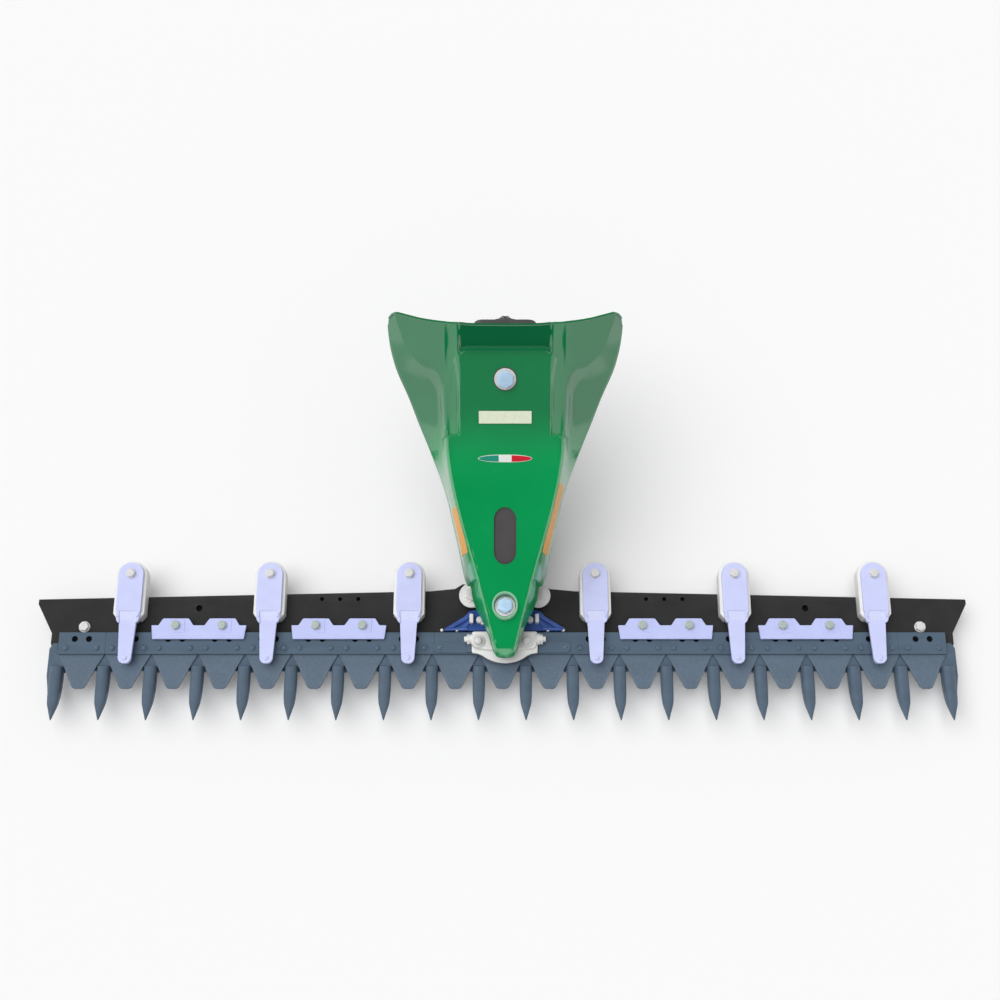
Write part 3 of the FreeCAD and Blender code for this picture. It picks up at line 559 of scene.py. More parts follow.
# A finger with the knife's slot cut into it, and its lip's rear end sloped.
def makeFinger():
    finger = loft([fingerRing(*station) for station in guard["stations"]])
    front, low, high = guard["slot"]
    lip = guard["lipRear"]
    finger = cut(finger, plate(oblong(-40, 40, front, 20), low, high, 0.3))
    slope = ((lip + 0.5, high - 1), (40, high - 1), (40, 70), (lip - 6, 70), (lip - 1.5, high + 2.5))
    return softened(cut(finger, prism(slope, -40, 40)), 0.5, 2, 40)


# The root plate's front edge, scooped between the fingers.
def scallop(reach, steps=8):
    places = [1 - 2 * i / steps for i in range(steps + 1)]
    return [(reach * place, guard["rootFront"] - 5 * abs(place) ** 3) for place in places]


# The end guard's outer finger, which widens into a shoe that reaches back beside the knife's end.
def makeShoe(finger):
    inner = 9.5 * pitch
    out = guard["shoeEdge"] - inner
    low = [(inner + x + (0 if x > 0 else out), *rest) for x, *rest in guard["shoe"]]
    return [copyOf(finger, shiftBy(inner)), plate(rounded(low), 26, 40.8, 1.2, steps=2),
            plate(rounded(low), 22.5, 27, 2, steps=2)]


def makeGuards():
    finger = makeFinger()
    half = pitch / 2
    front, rear, nose = guard["rootFront"], guard["rearEdge"], guard["noseFront"]
    edge = [(half - 6, nose), (half + 6, nose), (half + 6, front - 4), (pitch - 0.5, front + 4, 3),
            (pitch - 0.5, rear, 4)]
    edge = scallop(half - 6)[::-1] + mirrored(edge)
    outer = guard["shoeEdge"] - 9 * pitch
    short = [(x if x < pitch - 1 else outer, *rest) for x, *rest in edge]
    root, short = [plate(rounded(outline[::-1]), *guard["root"]) for outline in (edge, short)]
    rib = plate(rounded(guard["rib"]), 29, 40.5, 1)
    finish = coated("guardCast", "guard_cast", (0.084, 0.126, 0.176), 0.46, mottle=18, grain=(0.9, 0.06),
                    lumps=(5, 0.10), worn=((0.17, 0.22, 0.28), 0.45))
    for number in range(1, 11):
        centre = (2 * number - 11) * pitch
        side = {1: -1, 10: 1}.get(number, 0)
        turn = Matrix.Scale(side or 1, 4, (1, 0, 0))
        parts = [copyOf(short if side else root, shiftBy(centre) @ turn)]
        for hand in hands:
            if hand != side:
                parts.append(copyOf(finger, shiftBy(centre + hand * half)))
            parts.append(copyOf(rib, shiftBy(centre + hand * half)))
        if side:
            parts += [placed(part, turn) for part in makeShoe(finger)]
        makePiece(f"guard_{number}_casting", parts, finish, [f"guard_{number}"])
    nut = joined([hexHead(*guard["nut"]), turned(guard["shank"])])
    places = [(step - 9.5) * pitch for step in range(20)]
    makePiece("guardBolts", [repeated(nut, places, guard["boltLine"], 180, 3)], boltZinc, ["guard_bolts"])


makeBeam()
makeGuards()
print("beam and guards made")


# Knife: blades riveted under a flat back

knife = {
    "blades": 19,
    "bladeLow": 41.5,
    "low": 44,
    "high": 49,
    "front": -10,
    "rear": 26,
    "half": 723,
    "seams": (-647, -111, 645),
    "blade": ((9.2, -66.3, 8), (24.4, -34, 12), (35.6, -13, 3), (37.85, -9), (37.85, 18)),
    "ground": ((23.4, -34.5), (10.2, -60.5), (8.4, -60), (21.6, -34)),
    "rivetSpread": 25.4,
    "rivet": ((0, -1), (4.6, -1), (4.6, 0.5), (4.278, 1.2), (3.45, 1.9), (2.07, 2.3), (0, 2.4)),
    "collar": ((5, -0.5), (7.6, -0.5), (7.6, 0.7), (7.1, 1.1), (5.8, 1.1), (5, 0.2)),
    "hole": (5, 11.5, 15),          # radius, half spacing, line
    "headTop": 51,
    "headPlate": (111.5, -8.5, 10, 8.2),
    "headPad": (57, -8, 24, 2),
    "headRivet": ((0, -1), (4, -1), (4, 0.8), (3, 1.5), (0, 1.7)),
    "headRivetPlace": (101.6, 0.8),
}
knifePlaces = [(step - (knife["blades"] - 1) / 2) * pitch for step in range(knife["blades"])]


def makeBlades():
    low, high = knife["bladeLow"], knife["low"]
    parts = [plate(rounded(mirrored(knife["blade"])), low, high - 0.02, 0.45, steps=0)]
    for hand in hands:               # shallow ground bevels along both cutting edges
        parts.append(plate(handed(knife["ground"], hand), high - 0.1, high + 0.12, 0.05, steps=0))
    blades = repeated(joined(parts), knifePlaces, 0)
    makePiece("knifeBlades", [blades], knifeSteel, ["knife_sections"], "knife")


def makeBack():
    low, high, front, rear = [knife[name] for name in ("low", "high", "front", "rear")]
    radius, half, line = knife["hole"]
    ends = [-knife["half"] - 0.4, *knife["seams"], knife["half"] + 0.4]
    strips, holeShades = [], []
    for left, right in zip(ends, ends[1:]):
        places = [x + hand * half for x in knifePlaces for hand in hands]
        holes = [circle(x, line, radius) for x in places
                 if left + 8.1 < x < right - 8.1 and abs(x) > pitch * 1.6]
        outline = rounded(oblong(left + 0.1, right - 0.1, front, rear, 1), 3)
        strips.append(plate(outline, low, high, 0.3, holes, steps=2))
        # painted shade: a black disc at the bottom of each hole, in place of the shade inside it
        holeShades += [plate(hole, low, low + 0.6, 0.1) for hole in holes]
    makePiece("knifeBack", strips, knifeSteel, ["knife_back"], "knife")
    makePiece("backHolePlugs", holeShades, holeShadeBlack, body="knife")


def makeRivets():
    spread, high = knife["rivetSpread"], knife["high"]
    places = [x + hand * spread for x in knifePlaces for hand in hands]
    places = [x for x in places if abs(x) > pitch]
    dome = turned(knife["rivet"], steps=24, lift=high)
    collar = turned(knife["collar"], steps=28, lift=high)
    ringed = [step * pitch - math.copysign(spread, step) for step in layout["clipSteps"]]
    steel = coated("rivetSteel", "knife_steel", (0.088, 0.132, 0.183), 0.42, tone=0.12, mottle=4,
                   grain=(0.4, 0.01), lumps=(2, 0.02))
    parts = [repeated(dome, places, 0, 180, 5), repeated(collar, ringed, 0)]
    makePiece("knifeRivets", parts, steel, body="knife")


def makeKnifeHead():
    low, top = knife["high"], knife["headTop"]
    half, front, rear, radius = knife["headPlate"]
    parts = [plate(rounded(oblong(-half, half, front, rear, radius), 8), low, top, 0.7, steps=2)]
    half, front, rear, radius = knife["headPad"]
    parts.append(plate(rounded(oblong(-half, half, front, rear, radius), 3), low, top + 3, 0.6))
    across, line = knife["headRivetPlace"]
    for x in (-across, across):
        parts.append(washer(7.2, 5.4, top - 1, top + 0.3, x, line))
        parts.append(turned(knife["headRivet"], x, line, lift=top))
    makePiece("knifeHead", parts, knifeSteel, ["knife_head"], "knife")


# Drive clamp on the knife's middle: heights are from its seat, and turned profiles are (radius, height)

clamp = {
    "seat": 54,
    "edge": ((53, -10.5, 2), (53, 14, 2), (53, 25, 4), (-53.5, 25, 4), (-53.5, 14, 2), (-53.5, -10.5, 2)),
    "swell": (44, -11.8, 37, 60, -27.2),    # ends, and the arc's half width, radius and foremost line
    "raised": ((51, 24, 6), (-51.5, 24, 6), (-51.5, -4, 7), (-26, -7, 6), (26, -7, 6), (51, -4, 7)),
    "bolts": (39, 7),
    "boss": ((0, 5), (12, 5), (11.2, 13), (10.4, 14), (0, 14)),
    "pin": ((0, 4), (14, 4), (12, 10), (8, 11.1), (8, 24), (7, 25), (0, 25)),
    "web": ((8, 22, 2), (24, 22, 2), (22, -4, 3), (10, -5, 3)),
    "stubPlace": (52.4, 12, 5.5),
    "stub": ((0, -3), (8.6, -3), (6.8, 7), (6.0, 8), (4.6, 8), (4.6, 13), (4.0, 13.8), (0, 13.8)),
    "stubNut": (14.5, 5, 9.4),
    "stubCollar": ((0, -1), (9, -1), (9, 4.2), (8.4, 4.8), (0, 4.8)),
    "boltWasher": ((0, 13.8), (9.4, 13.8), (9.4, 15.2), (8.8, 15.7), (0, 15.7)),
    "boltHead": ((0, 15.2), (6.9, 15.2), (6.9, 17.6), (6.3, 19.6), (5, 20.8), (2.6, 21.4), (0, 21.5)),
    "boltShank": ((0, -4), (3.9, -4), (3.9, 15), (0, 15)),
}


def makeClamp():
    seat = clamp["seat"]
    across, line = clamp["bolts"]
    end, begins, half, radius, foremost = clamp["swell"]
    swell = [(x, foremost + radius - math.sqrt(radius ** 2 - x * x), 4)
             for x in [half * (i - 10) / 10 for i in range(21)]]
    edge = [*clamp["edge"], (-end, begins, 2), *swell, (end, begins, 2)]
    parts = [plate(rounded(handed(edge, x=shift)), seat, seat + 6, 1.4, steps=3),
             plate(rounded(handed(clamp["raised"], x=shift)), seat + 3, seat + 11, 2.4, steps=3),
             turned(clamp["pin"], 0, line, lift=seat)]
    bolts = []
    for hand in hands:
        parts.append(turned(clamp["boss"], hand * across, line, 40, seat))
        parts.append(plate(rounded(handed(clamp["web"], hand), 3), seat + 4, seat + 9.5, 1.5, steps=2))
        stub = [turned(clamp["stub"], steps=28), hexHead(*clamp["stubNut"])]
        if hand > 0:                 # the drive side has a second collar
            stub.append(turned(clamp["stubCollar"], steps=28))
        x, y, z = clamp["stubPlace"]
        parts += [placed(mesh, shiftBy(shift + hand * x, y, seat + z) @ pointing(hand)) for mesh in stub]
        for name, steps in (("boltWasher", 32), ("boltHead", 32), ("boltShank", 20)):
            bolts.append(turned(clamp[name], hand * across, line, steps, seat))
    makePiece("knifeClamp", parts, clipWhite, ["knife_clamp"], "knife")
    makePiece("clampBolts", bolts, boltPale, ["clamp_bolts"], "knife")


makeBlades()
makeBack()
makeRivets()
makeKnifeHead()
makeClamp()
print("knife made")


# Hold-down clips: a cast base behind the knife and a bent arm that reaches over it

clip = {
    "baseTop": 63,
    "plateTop": 69,
    "armLow": 59,
    "armHigh": 65,
    "boltLine": 120,
    "base": ((18.5, 45, 3), (25.5, 54, 5), (25.5, 143, 25)),
    "plate": ((14, 57), (14, 47, 0.6), (16.6, 47, 0.8), (20.5, 58, 3), (20.5, 139, 20)),
    "tongue": ((10.2, -28.8, 9.6), (14, 40), (14, 45)),
    "ear": ((13, 37.5), (16.6, 39.5), (18.6, 43.5), (19.6, 50), (19.8, 57.5), (13, 57.5)),
    "step": ((42, 59.6), (58.5, 61), (58.5, 68.1), (42, 64.85)),    # (line, height)
    "foot": ((0, 44.7), (5.6, 44.7), (6.6, 46), (6.6, 60), (0, 60)),
    "rivet": ((0, 64), (4.1, 64), (4.1, 65.4), (3.5, 66.2), (2.2, 66.8), (0, 67)),
    "screwHead": (13, 24.5, 30),
    "screwShank": ((0, 29.5), (3.9, 29.5), (3.9, 53), (0, 53)),
    "screwLine": 68,
}


def clipArm():
    low, high, top = clip["armLow"], clip["armHigh"], clip["plateTop"]
    arm = [plate(rounded(mirrored(clip["plate"]), 10), clip["baseTop"], top, 0.9,
                 [circle(0, clip["boltLine"], 4.3)], steps=2),
           plate(rounded(mirrored(clip["tongue"]), 8), low, high, 0.9, steps=2),
           softened(prism(clip["step"], -13.6, 13.6), 0.5),
           turned(clip["foot"], 0, -19.8, 28)]
    # the ears beside the step, which run down to the tongue
    arm += [plate(handed(clip["ear"], hand), low + 0.2, high + 2.4, 0.9, steps=2) for hand in hands]
    return joined(arm)


# A bolt whose washer lies on the seat, with a nut up to a height if one is given.
def boltMesh(low, seat, across=13, reach=8, nut=None, shank=3.9, thick=1.6):
    top = seat + thick
    pin = [(0, low), (shank - 0.6, low), (shank, low + 0.8), (shank, seat + 0.5), (0, seat + 0.5)]
    parts = [turned([(0, seat), (reach, seat), (reach, top - 0.3), (reach - 0.4, top), (0, top)]),
             hexHead(across, top, top + across * 0.4, 0.3), turned(pin, steps=20)]
    if nut is not None:
        parts.append(hexHead(across, nut - across * 0.5, nut))
    return joined(parts)


def makeClips():
    base = plate(rounded(mirrored(clip["base"]), 10), beam["high"], clip["baseTop"], 2.2,
                 [circle(0, clip["boltLine"], 4.3)], steps=3)
    arm = clipArm()
    places = [step * pitch for step in layout["clipSteps"]]
    for number, x in enumerate(places, start=1):
        makePiece(f"clipBase_{number}", [copyOf(base, shiftBy(x))], clipWhite, [f"clip_base_{number}"])
        makePiece(f"clipArm_{number}", [copyOf(arm, shiftBy(x))], clipLilac, [f"clip_arm_{number}"])
    bolts = repeated(boltMesh(33, clip["plateTop"], nut=40), places, clip["boltLine"], 180, 7)
    makePiece("clipBolts", [bolts], boltPale, ["clip_bolts"])
    makePiece("clipRivets", [repeated(turned(clip["rivet"], steps=24), places, -20)], clipLilac)
    screw = joined([hexHead(*clip["screwHead"]), turned(clip["screwShank"], steps=20)])
    makePiece("clipScrews", [repeated(screw, places, clip["screwLine"], 180, 9)], boltZinc, ["clip_screws"])


# Knife guides: folded plates on the beam that keep the knife's back down

guide = {
    "half": 77.5,
    "front": 13.5,
    "fold": 25,
    "shoulder": 36.5,
    "rear": 48,
    "low": 50,
    "high": 55,
    "boltLine": 36,
    "seat": ((15, 47, 1), (-11, 47, 1), (-11, 33, 6), (-4, 25, 4), (15, 23.5, 1)),
    "endBolts": (9, 37),
}


def guideMesh():
    half, middle = guide["half"], pitch / 2
    front, fold, shoulder, rear = [guide[name] for name in ("front", "fold", "shoulder", "rear")]
    low, high = guide["low"], guide["high"]
    edge = [(half - 3, front, 1), (half, shoulder, 1), (middle + 28, shoulder, 2), (middle + 21, rear, 3),
            (middle - 21, rear, 3), (middle - 29, shoulder, 2)]
    holes = [circle(hand * middle, guide["boltLine"], 4.3) for hand in hands]
    lip = ((front + 0.4, low + 0.4), (fold, low + 0.4), (fold + 1, high + 0.1), (fold - 1.5, high + 0.5),
           (front + 0.4, high - 0.9))
    under = rounded(mirrored([(half - 6, 29.5, 1), (half - 8, 37, 1)]), 3)
    parts = [plate(rounded(mirrored(edge), 4), low + 0.3, high, 0.8, holes, steps=2),
             plate(under, beam["high"], low + 1, 0.6),
             softened(prism(lip, -half + 4, half - 4), 0.3)]
    for hand in hands:               # the raised half-round seat beside each bolt
        seat = rounded(handed(guide["seat"], x=hand * middle), 5)
        parts.append(plate(seat, high - 0.5, high + 1.0, 0.35))
    return joined(parts)


def makeGuides():
    shape = guideMesh()
    lilac = coated("guideLilac", "clip_lilac", (0.545, 0.590, 0.93), 0.38, tone=0.035, mottle=22,
                   grain=(0.6, 0.01), lumps=(14, 0.02))
    for number, step in enumerate(layout["guideSteps"], start=1):
        part = copyOf(shape, shiftBy(step * pitch))
        makePiece(f"knifeGuide_{number}", [part], lilac, [f"knife_guide_{number}"])
    places = [(step + hand / 2) * pitch for step in layout["guideSteps"] for hand in hands]
    bolt = boltMesh(23, guide["high"] + 0.9, reach=7.4, nut=30, thick=1.2)
    makePiece("guideBolts", [repeated(bolt, places, guide["boltLine"], 180, 11)], boltZinc, ["guide_bolts"])
    steps, line = guide["endBolts"]
    bolt = boltMesh(18, beam["high"], 14, 9.2, shank=4.9)
    places = [hand * steps * pitch for hand in hands]
    makePiece("endBolts", [repeated(bolt, places, line, 180, 13)], boltPale, ["end_bolts"])


makeClips()
makeGuides()
print("clips and guides made")


# Hood: a pressed cover, narrow over the knife and wide behind, with a raised platform on top

hood = {
    "wall": 2.6,
    "slope": 0.642,
    "topAtRivets": 113.7,
    "lowest": 84.5,
    "rows": (   # line, half widths of top, fold, crease, hem, and how far the last three lie below the top
        (-24, 0.8, 1.6, 2.8, 4.5, 1.0, 4, 10),
        (-23.3, 3.4, 5.2, 6.9, 8.0, 1.4, 5, 11),
        (-21.5, 7.6, 9.8, 11.4, 12.3, 1.4, 6, 12),
        (-18, 11.4, 13.4, 14.8, 15.5, 1.4, 7, 14),
        (-13, 14.4, 16.4, 17.4, 18.1, 1.4, 8, 16),
        (-7, 16.8, 18.8, 19.6, 20.3, 1.6, 10, 18),
        (5, 19.8, 22.0, 23.0, 23.8, 1.8, 11, 21),
        (18, 23.4, 25.6, 27.8, 29.0, 1.8, 13, 25),
        (28, 26.2, 28.4, 31.6, 33.0, 1.8, 14, 28),
        (37, 28.8, 31.0, 35.8, 37.6, 1.8, 15, 31),
        (49, 32.2, 34.4, 41.6, 44.4, 1.8, 17, 35),
        (60, 35.3, 37.5, 46.0, 49.0, 1.8, 19, 38),
        (70, 38.2, 40.4, 48.2, 51.6, 1.8, 20, 40),
        (83, 41.7, 43.9, 50.0, 53.8, 1.8, 21, 42),
        (84, 42.0, 44.2, 54.2, 58.6, 1.8, 20, 42),
        (102, 47.8, 50.0, 61.0, 65.2, 1.8, 20, 44),
        (135, 58.4, 60.8, 69.0, 72.6, 1.8, 22, 47),
        (174, 70.2, 72.6, 79.2, 82.4, 1.8, 25, 48),
        (200, 77.0, 79.6, 86.0, 88.6, 2, 27, 49),
        (226, 82.6, 85.4, 92.8, 97.2, 2.2, 30, 50),
        (258, 87.0, 90.2, 98.2, 110.4, 3, 32, 52),
        (279, 87.6, 91.4, 99.8, 119.6, 4, 31, 52),
        (310, 86, 93.5, 100.5, 134, 8, 30, 52),
        (341, 86, 94, 102.5, 147.6, 8.5, 29, 51),
        (385, 80, 92, 134.5, 169, 11.4, 26, 48),
        (417, 80, 92, 156, 177, 8.3, 30, 47),
        (436, 80, 92, 165, 178.6, 7.2, 29, 43),
        (444, 80, 92, 168, 178.6, 7, 28, 41),
    ),
    "noseLines": (-24, -23.7, -23.2, -22.4, -21.4, -20, -18, -15.5, -12.5, -9, -5, -1),
    "lines": ((4, 7, 11), (79, 3, 2), (83, 1, 3), (89, 5, 1), (94, 8, 22), (269, 1.5, 15), (296, 8, 10),
              (372, 1.5, 20), (402, 3, 15)),        # first, step, count
    "flat": (0, 0.16, 0.32, 0.46, 0.56, 0.64, 0.70, 0.74, 0.77, *(0.785 + 0.0125 * i for i in range(11)),
             0.93, 0.96, 0.98),                     # points across the top
    "corners": (2.5, 2.5, 5),                       # how far each corner's rounding reaches
    # between two corners: the gap left before the next one, and the points' places
    "sides": ((0.12, (0.5,)), (0.12, (0.2, 0.4, 0.6, 0.8)), (0, (0.2, 0.4, 0.55, 0.7, 0.8, 0.9))),
    "platform": (70, 384, 13, 277),                 # half width, rear, corner radius, front of its ledge
    "ledge": ((72, 7), (86, 11), (90, 8.2), (94, 6), (98, 1.6), (101, 0)),      # half width, depth in front
    "ledgeRear": ((72, 4.6), (80, 7.6), (92, 0)),
    "recess": ((380, 9.6), (388, 9.8), (392, 9), (400, 6.6), (408, 4.2), (415, 2.1), (419, 1.2), (444, 0)),
    "recessHalf": 70,
    "rearEdge": ((0, 419), (50, 419.5), (78, 422), (100, 426), (135, 434.5), (158, 442), (166, 443.5),
                 (171, 443.5), (175.2, 442), (177.6, 439), (178.6, 434)),
    "bend": (390, 444),                             # where the lines begin to follow the rear edge, and end
    "slot": (103, 181, 17.6),
    "frontBolt": (46, 139),
    "rearBolt": 349,
    "seatRing": ((20.5, 132, 0), (20.5, 147.4, 0.4), (20.2, 148.3, 0.4), (19.4, 148.9, 0.4),
                 (18.2, 148.9, 0.4), (17.4, 148.3, 0.4), (17.1, 147.4, 0.4), (17.1, 138, 0)),
    "stripes": ((-1, 121, 184), (1, 121, 216)),
}
hoodLean = math.atan(hood["slope"])
hoodLook = {
    "paint": (0.003, 0.370, 0.101),
    "tones": ((0.002, 0.352, 0.096), (0.003, 0.388, 0.106)),
    # painted shade: the dark paint mixed in over the rear, the wings and the recess, in place of the shade
    # there
    "deep": (0.004, 0.055, 0.030),
    # painted reflection: the pale grey-green mixed in down the narrow part's skirt, in place of the bright
    # surroundings it mirrors
    "skirtReflection": (0.42, 0.56, 0.46),
    "grime": (0.08, 0.29, 0.12),
    # lines and half widths, in millimetres, between which each sets in
    "deepLines": (236, 318),
    "shadeWings": (72, 104),
    "recessLines": (376, 388),
    "recessHalf": (68, 74),
    "reflectionBelow": (5, 12),
    "reflectionFrom": (82, 88),
    "reflectionTo": (228, 268),
}


# Glossy paint on pressed sheet, with the slight waves of the pressing and of the sprayed coat. It has
# painted shade, a darker paint mix over the rear part, the wings and the recess. It also has painted
# reflection, pale paint down the narrow part's skirt.
def hoodFinish():
    look = hoodLook
    finish = Finish("hoodGreen", "hood_green", look["paint"], 0.34, Coat_Roughness=0.06, Coat_IOR=2.25,
                    Specular_IOR_Level=0.10)
    broad = finish.noise(90, 3)
    peel = finish.noise(2.4, 2)
    waves = finish.noise(70, 1)
    grime = (finish.noise(22, 5) + finish.noise(2, 3) * 0.6).ramp(0.14, 0.40)
    line = finish.along(1) - layout["rivetLine"]
    across = abs(finish.along(0) - shift)
    # painted shade: the paint turns darker towards the rear, over the wings and most of all in the recess,
    # in place of shade
    recess = line.ramp(*look["recessLines"]) * (1 - across.ramp(*look["recessHalf"]))
    deep = recess * 0.24 + across.ramp(*look["shadeWings"]) * 0.12 + 0.46
    deep = line.ramp(*look["deepLines"]) * deep
    paint = finish.mix((broad * 1.5 + 0.5).ramp(0, 1), *look["tones"])
    paint = finish.mix(deep, paint, look["deep"])
    # painted reflection: pale paint down the skirt of the narrow part, from a few millimetres below the
    # top, between lines 82 and 268
    below = line * hood["slope"] + hood["topAtRivets"] - finish.along(2)
    skirtReflection = (below + broad * 2).ramp(*look["reflectionBelow"]) * line.ramp(*look["reflectionFrom"])
    skirtReflection = skirtReflection * (1 - line.ramp(*look["reflectionTo"]))
    paint = finish.mix(skirtReflection * 0.58, paint, look["skirtReflection"])
    finish.send(finish.mix(grime * 0.10, paint, look["grime"]), "Base Color")
    finish.send(grime * 0.10 + peel * 0.05 + 0.34, "Roughness")
    finish.send(0.85 - grime * 0.3, "Coat Weight")
    finish.relief(peel * 0.012 + waves * 0.25)
    return finish


def hoodTop(line):
    nose = max(0, -7 - line) / 17
    return 97 + hood["slope"] * (line + 26) - 9 * nose * nose


# Where the top, fold, crease and hem stand at a line, as places across and below the top.
def hoodCorners(line):
    top, fold, crease, hem, *drops = [follow([(row[0], row[i]) for row in hood["rows"]], line)
                                      for i in range(1, 8)]
    return list(zip((top, fold, crease, hem), (0, *[-drop for drop in drops])))


# How far the pressing lies below the plain top at a place beside or behind the platform.
def pressed(x, y):
    half, rear, corner, front = hood["platform"]
    beside, behind = abs(x) - half + corner, y - rear + corner
    beyond = math.hypot(max(beside, 0), max(behind, 0)) - corner + min(max(beside, behind), 0)
    outside = eased(min(beyond, y - front), -1.5, 3 + 8 * eased(y, 338, 380))
    ledge = follow(hood["ledge"], abs(x))
    ledge += (follow(hood["ledgeRear"], abs(x)) - ledge) * eased(y, 335, 395)
    ledge *= 1 - 0.5 * eased(y, 392, 430)
    inRecess = 1 - eased(abs(x), hood["recessHalf"] - 3, hood["recessHalf"] + 1)
    inRecess *= eased(y, rear - 6, rear)
    return outside * (inRecess * follow(hood["recess"], y) + (1 - inRecess) * ledge)


# Half of the hood's outline across, from the middle of the top down to the hem, with soft corners.
def hoodProfile(line):
    corners = hoodCorners(line)
    points = [(corners[0][0] * part, 0) for part in hood["flat"]]
    before = Vector((0, 0))
    for here, after, most, (gap, parts) in zip(corners, corners[1:], hood["corners"], hood["sides"]):
        here, after = Vector(here), Vector(after)
        back, ahead = before - here, after - here
        reach = min(most, back.length * 0.45, ahead.length * 0.45)
        start, end = here + back.normalized() * reach, here + ahead.normalized() * reach
        for t in (0, 0.25, 0.5, 0.75, 1):
            points.append(start * (1 - t) ** 2 + here * 2 * t * (1 - t) + end * t * t)
        points += [end.lerp(after - (after - here) * gap, part) for part in parts]
        before = here
    hem, low = corners[3]
    points += [(hem - 0.15, low + 0.2), (hem + 0.7, low - 1), (hem + 1.1, low - 3.2)]
    return [(x, max(z + hoodTop(line), hood["lowest"])) for x, z in points]


# A point of the hood's outer face: a row's line, and how many points out from the middle.
def hoodPoint(line, index):
    bend, end = hood["bend"]
    place = line
    for _ in range(4):
        x, z = hoodProfile(place)[index]
        rear = follow(hood["rearEdge"], x)
        place = line if line < bend else bend + (line - bend) * (rear - bend) / (end - bend)
    return Vector((x + shift, place, z - pressed(x, place) * eased(place, 265, 280)))


def bothSides(right):
    return [Vector((2 * shift - spot.x, spot.y, spot.z)) for spot in right[:0:-1]] + right


# The outer face, closed in front, and the right half of its rear rim.
def hoodShell():
    lines = list(hood["noseLines"])
    for first, step, count in hood["lines"]:
        lines += [first + step * i for i in range(count)]
    form = bmesh.new()
    rows = []
    for line in lines:
        right = [hoodPoint(line, i) for i in range(len(hoodProfile(0)))]
        rows.append([form.verts.new(spot) for spot in bothSides(right)])
    for lower, upper in zip(rows, rows[1:]):
        for i in range(len(lower) - 1):
            form.faces.new((lower[i], lower[i + 1], upper[i + 1], upper[i]))
    form.faces.new(rows[0][::-1])
    return meshOf(form), right


# A round bead along a line of points.
def bead(spots, radius, steps=8):
    rings = []
    for i, spot in enumerate(spots):
        along = (spots[min(i + 1, len(spots) - 1)] - spots[max(i - 1, 0)]).normalized()
        side = along.cross(Vector((0, 0, 1))).normalized()
        upward = side.cross(along)
        rings.append([spot + side * u + upward * v for u, v in circle(0, 0, radius, steps)])
    return loft(rings)


def slopePlace(line):
    return shiftBy(shift, line, hoodTop(line)) @ Matrix.Rotation(hoodLean, 4, "X")


def makeHood():
    shell, rim = hoodShell()
    shell = modified(shell, "SOLIDIFY", thickness=hood["wall"], offset=-1, use_even_offset=False)
    low, high, half = hood["slot"]
    slot = plate(rounded(oblong(-half, half, low, high, half - 0.1), 10), 60, 320, 0.01)
    shell = cut(shell, placed(slot, shiftBy(shift)))
    line, seat = hood["frontBolt"]
    shell = cut(shell, turned([(19, 100), (19, 200)], shift, line, 40))
    bore = turned([(0, -20), (6.3, -20), (6.3, 20), (0, 20)], steps=24)
    shell = cut(shell, placed(bore, slopePlace(hood["rearBolt"])))
    edge = bothSides([spot + Vector((0, 0, -2.1)) for spot in rim[:-5]])
    rings = []
    for radius, level, slope in hood["seatRing"]:
        ring = circle(shift, line, radius, 48)
        rings.append([Vector((x, y, level + slope * (y - line))) for x, y in ring])
    green = coated("ringGreen", "hood_green", (0.27, 0.56, 0.36), 0.32, tone=0.05, mottle=8,
                   grain=(0.8, 0.01), lumps=(8, 0.01))
    makePiece("boltSeatRing", [loft(rings)], green)
    parts = [shell, bead(edge, 2.3), washer(18, 6.4, seat - 4, seat, shift, line)]
    makePiece("hoodCover", parts, hoodFinish(), ["hood"], angle=32)


# Flat things on the sloping top (line, half width, half depth): the blank plate and the striped pill,
# and their printed colours

laid = {
    "plate": (299.5, 41.5, 11.0),
    "pill": (245.5, 41.5, 6.0),
    "bands": (("Green", -1, -1 / 4.2), ("White", -1 / 4.2, 1 / 4.2), ("Red", 1 / 4.2, 1)),
    "inks": {
        "Dark": (0.02, 0.16, 0.07),
        "Ivory": (0.80, 0.86, 0.66),
        "White": (0.86, 0.87, 0.85),
        "Green": (0.015, 0.30, 0.20),
        "Red": (0.66, 0.015, 0.03),
        "Orange": (0.88, 0.42, 0.09),
    },
}
inks = {name: coated("ink" + name, "hood_green", colour, 0.35, tone=0.05, mottle=5, grain=(0.4, 0.004),
                     lumps=(6, 0.004)) for name, colour in laid["inks"].items()}
plugGrey = coated("plugGrey", "housing_grey", (0.078, 0.073, 0.073), 0.62, tone=0.05, mottle=18,
                  grain=(0.6, 0.02), lumps=(10, 0.02))


def makeLaid(name, outline, line, low, high, edge, finish):
    makePiece(name, [placed(plate(outline, low, high, edge), slopePlace(line))], finish)


def oval(wide, deep):
    return [(wide * math.copysign(abs(x) ** 0.8, x), deep * y) for x, y in circle(0, 0, 1, 48)]


# An oval's part between two places across, without the points that this brings together.
def band(outline, left, right):
    kept = []
    for x, y in outline:
        spot = (min(max(x, left), right), y)
        if not kept or math.dist(spot, kept[-1]) > 0.15:
            kept.append(spot)
    return kept if math.dist(kept[0], kept[-1]) > 0.15 else kept[:-1]


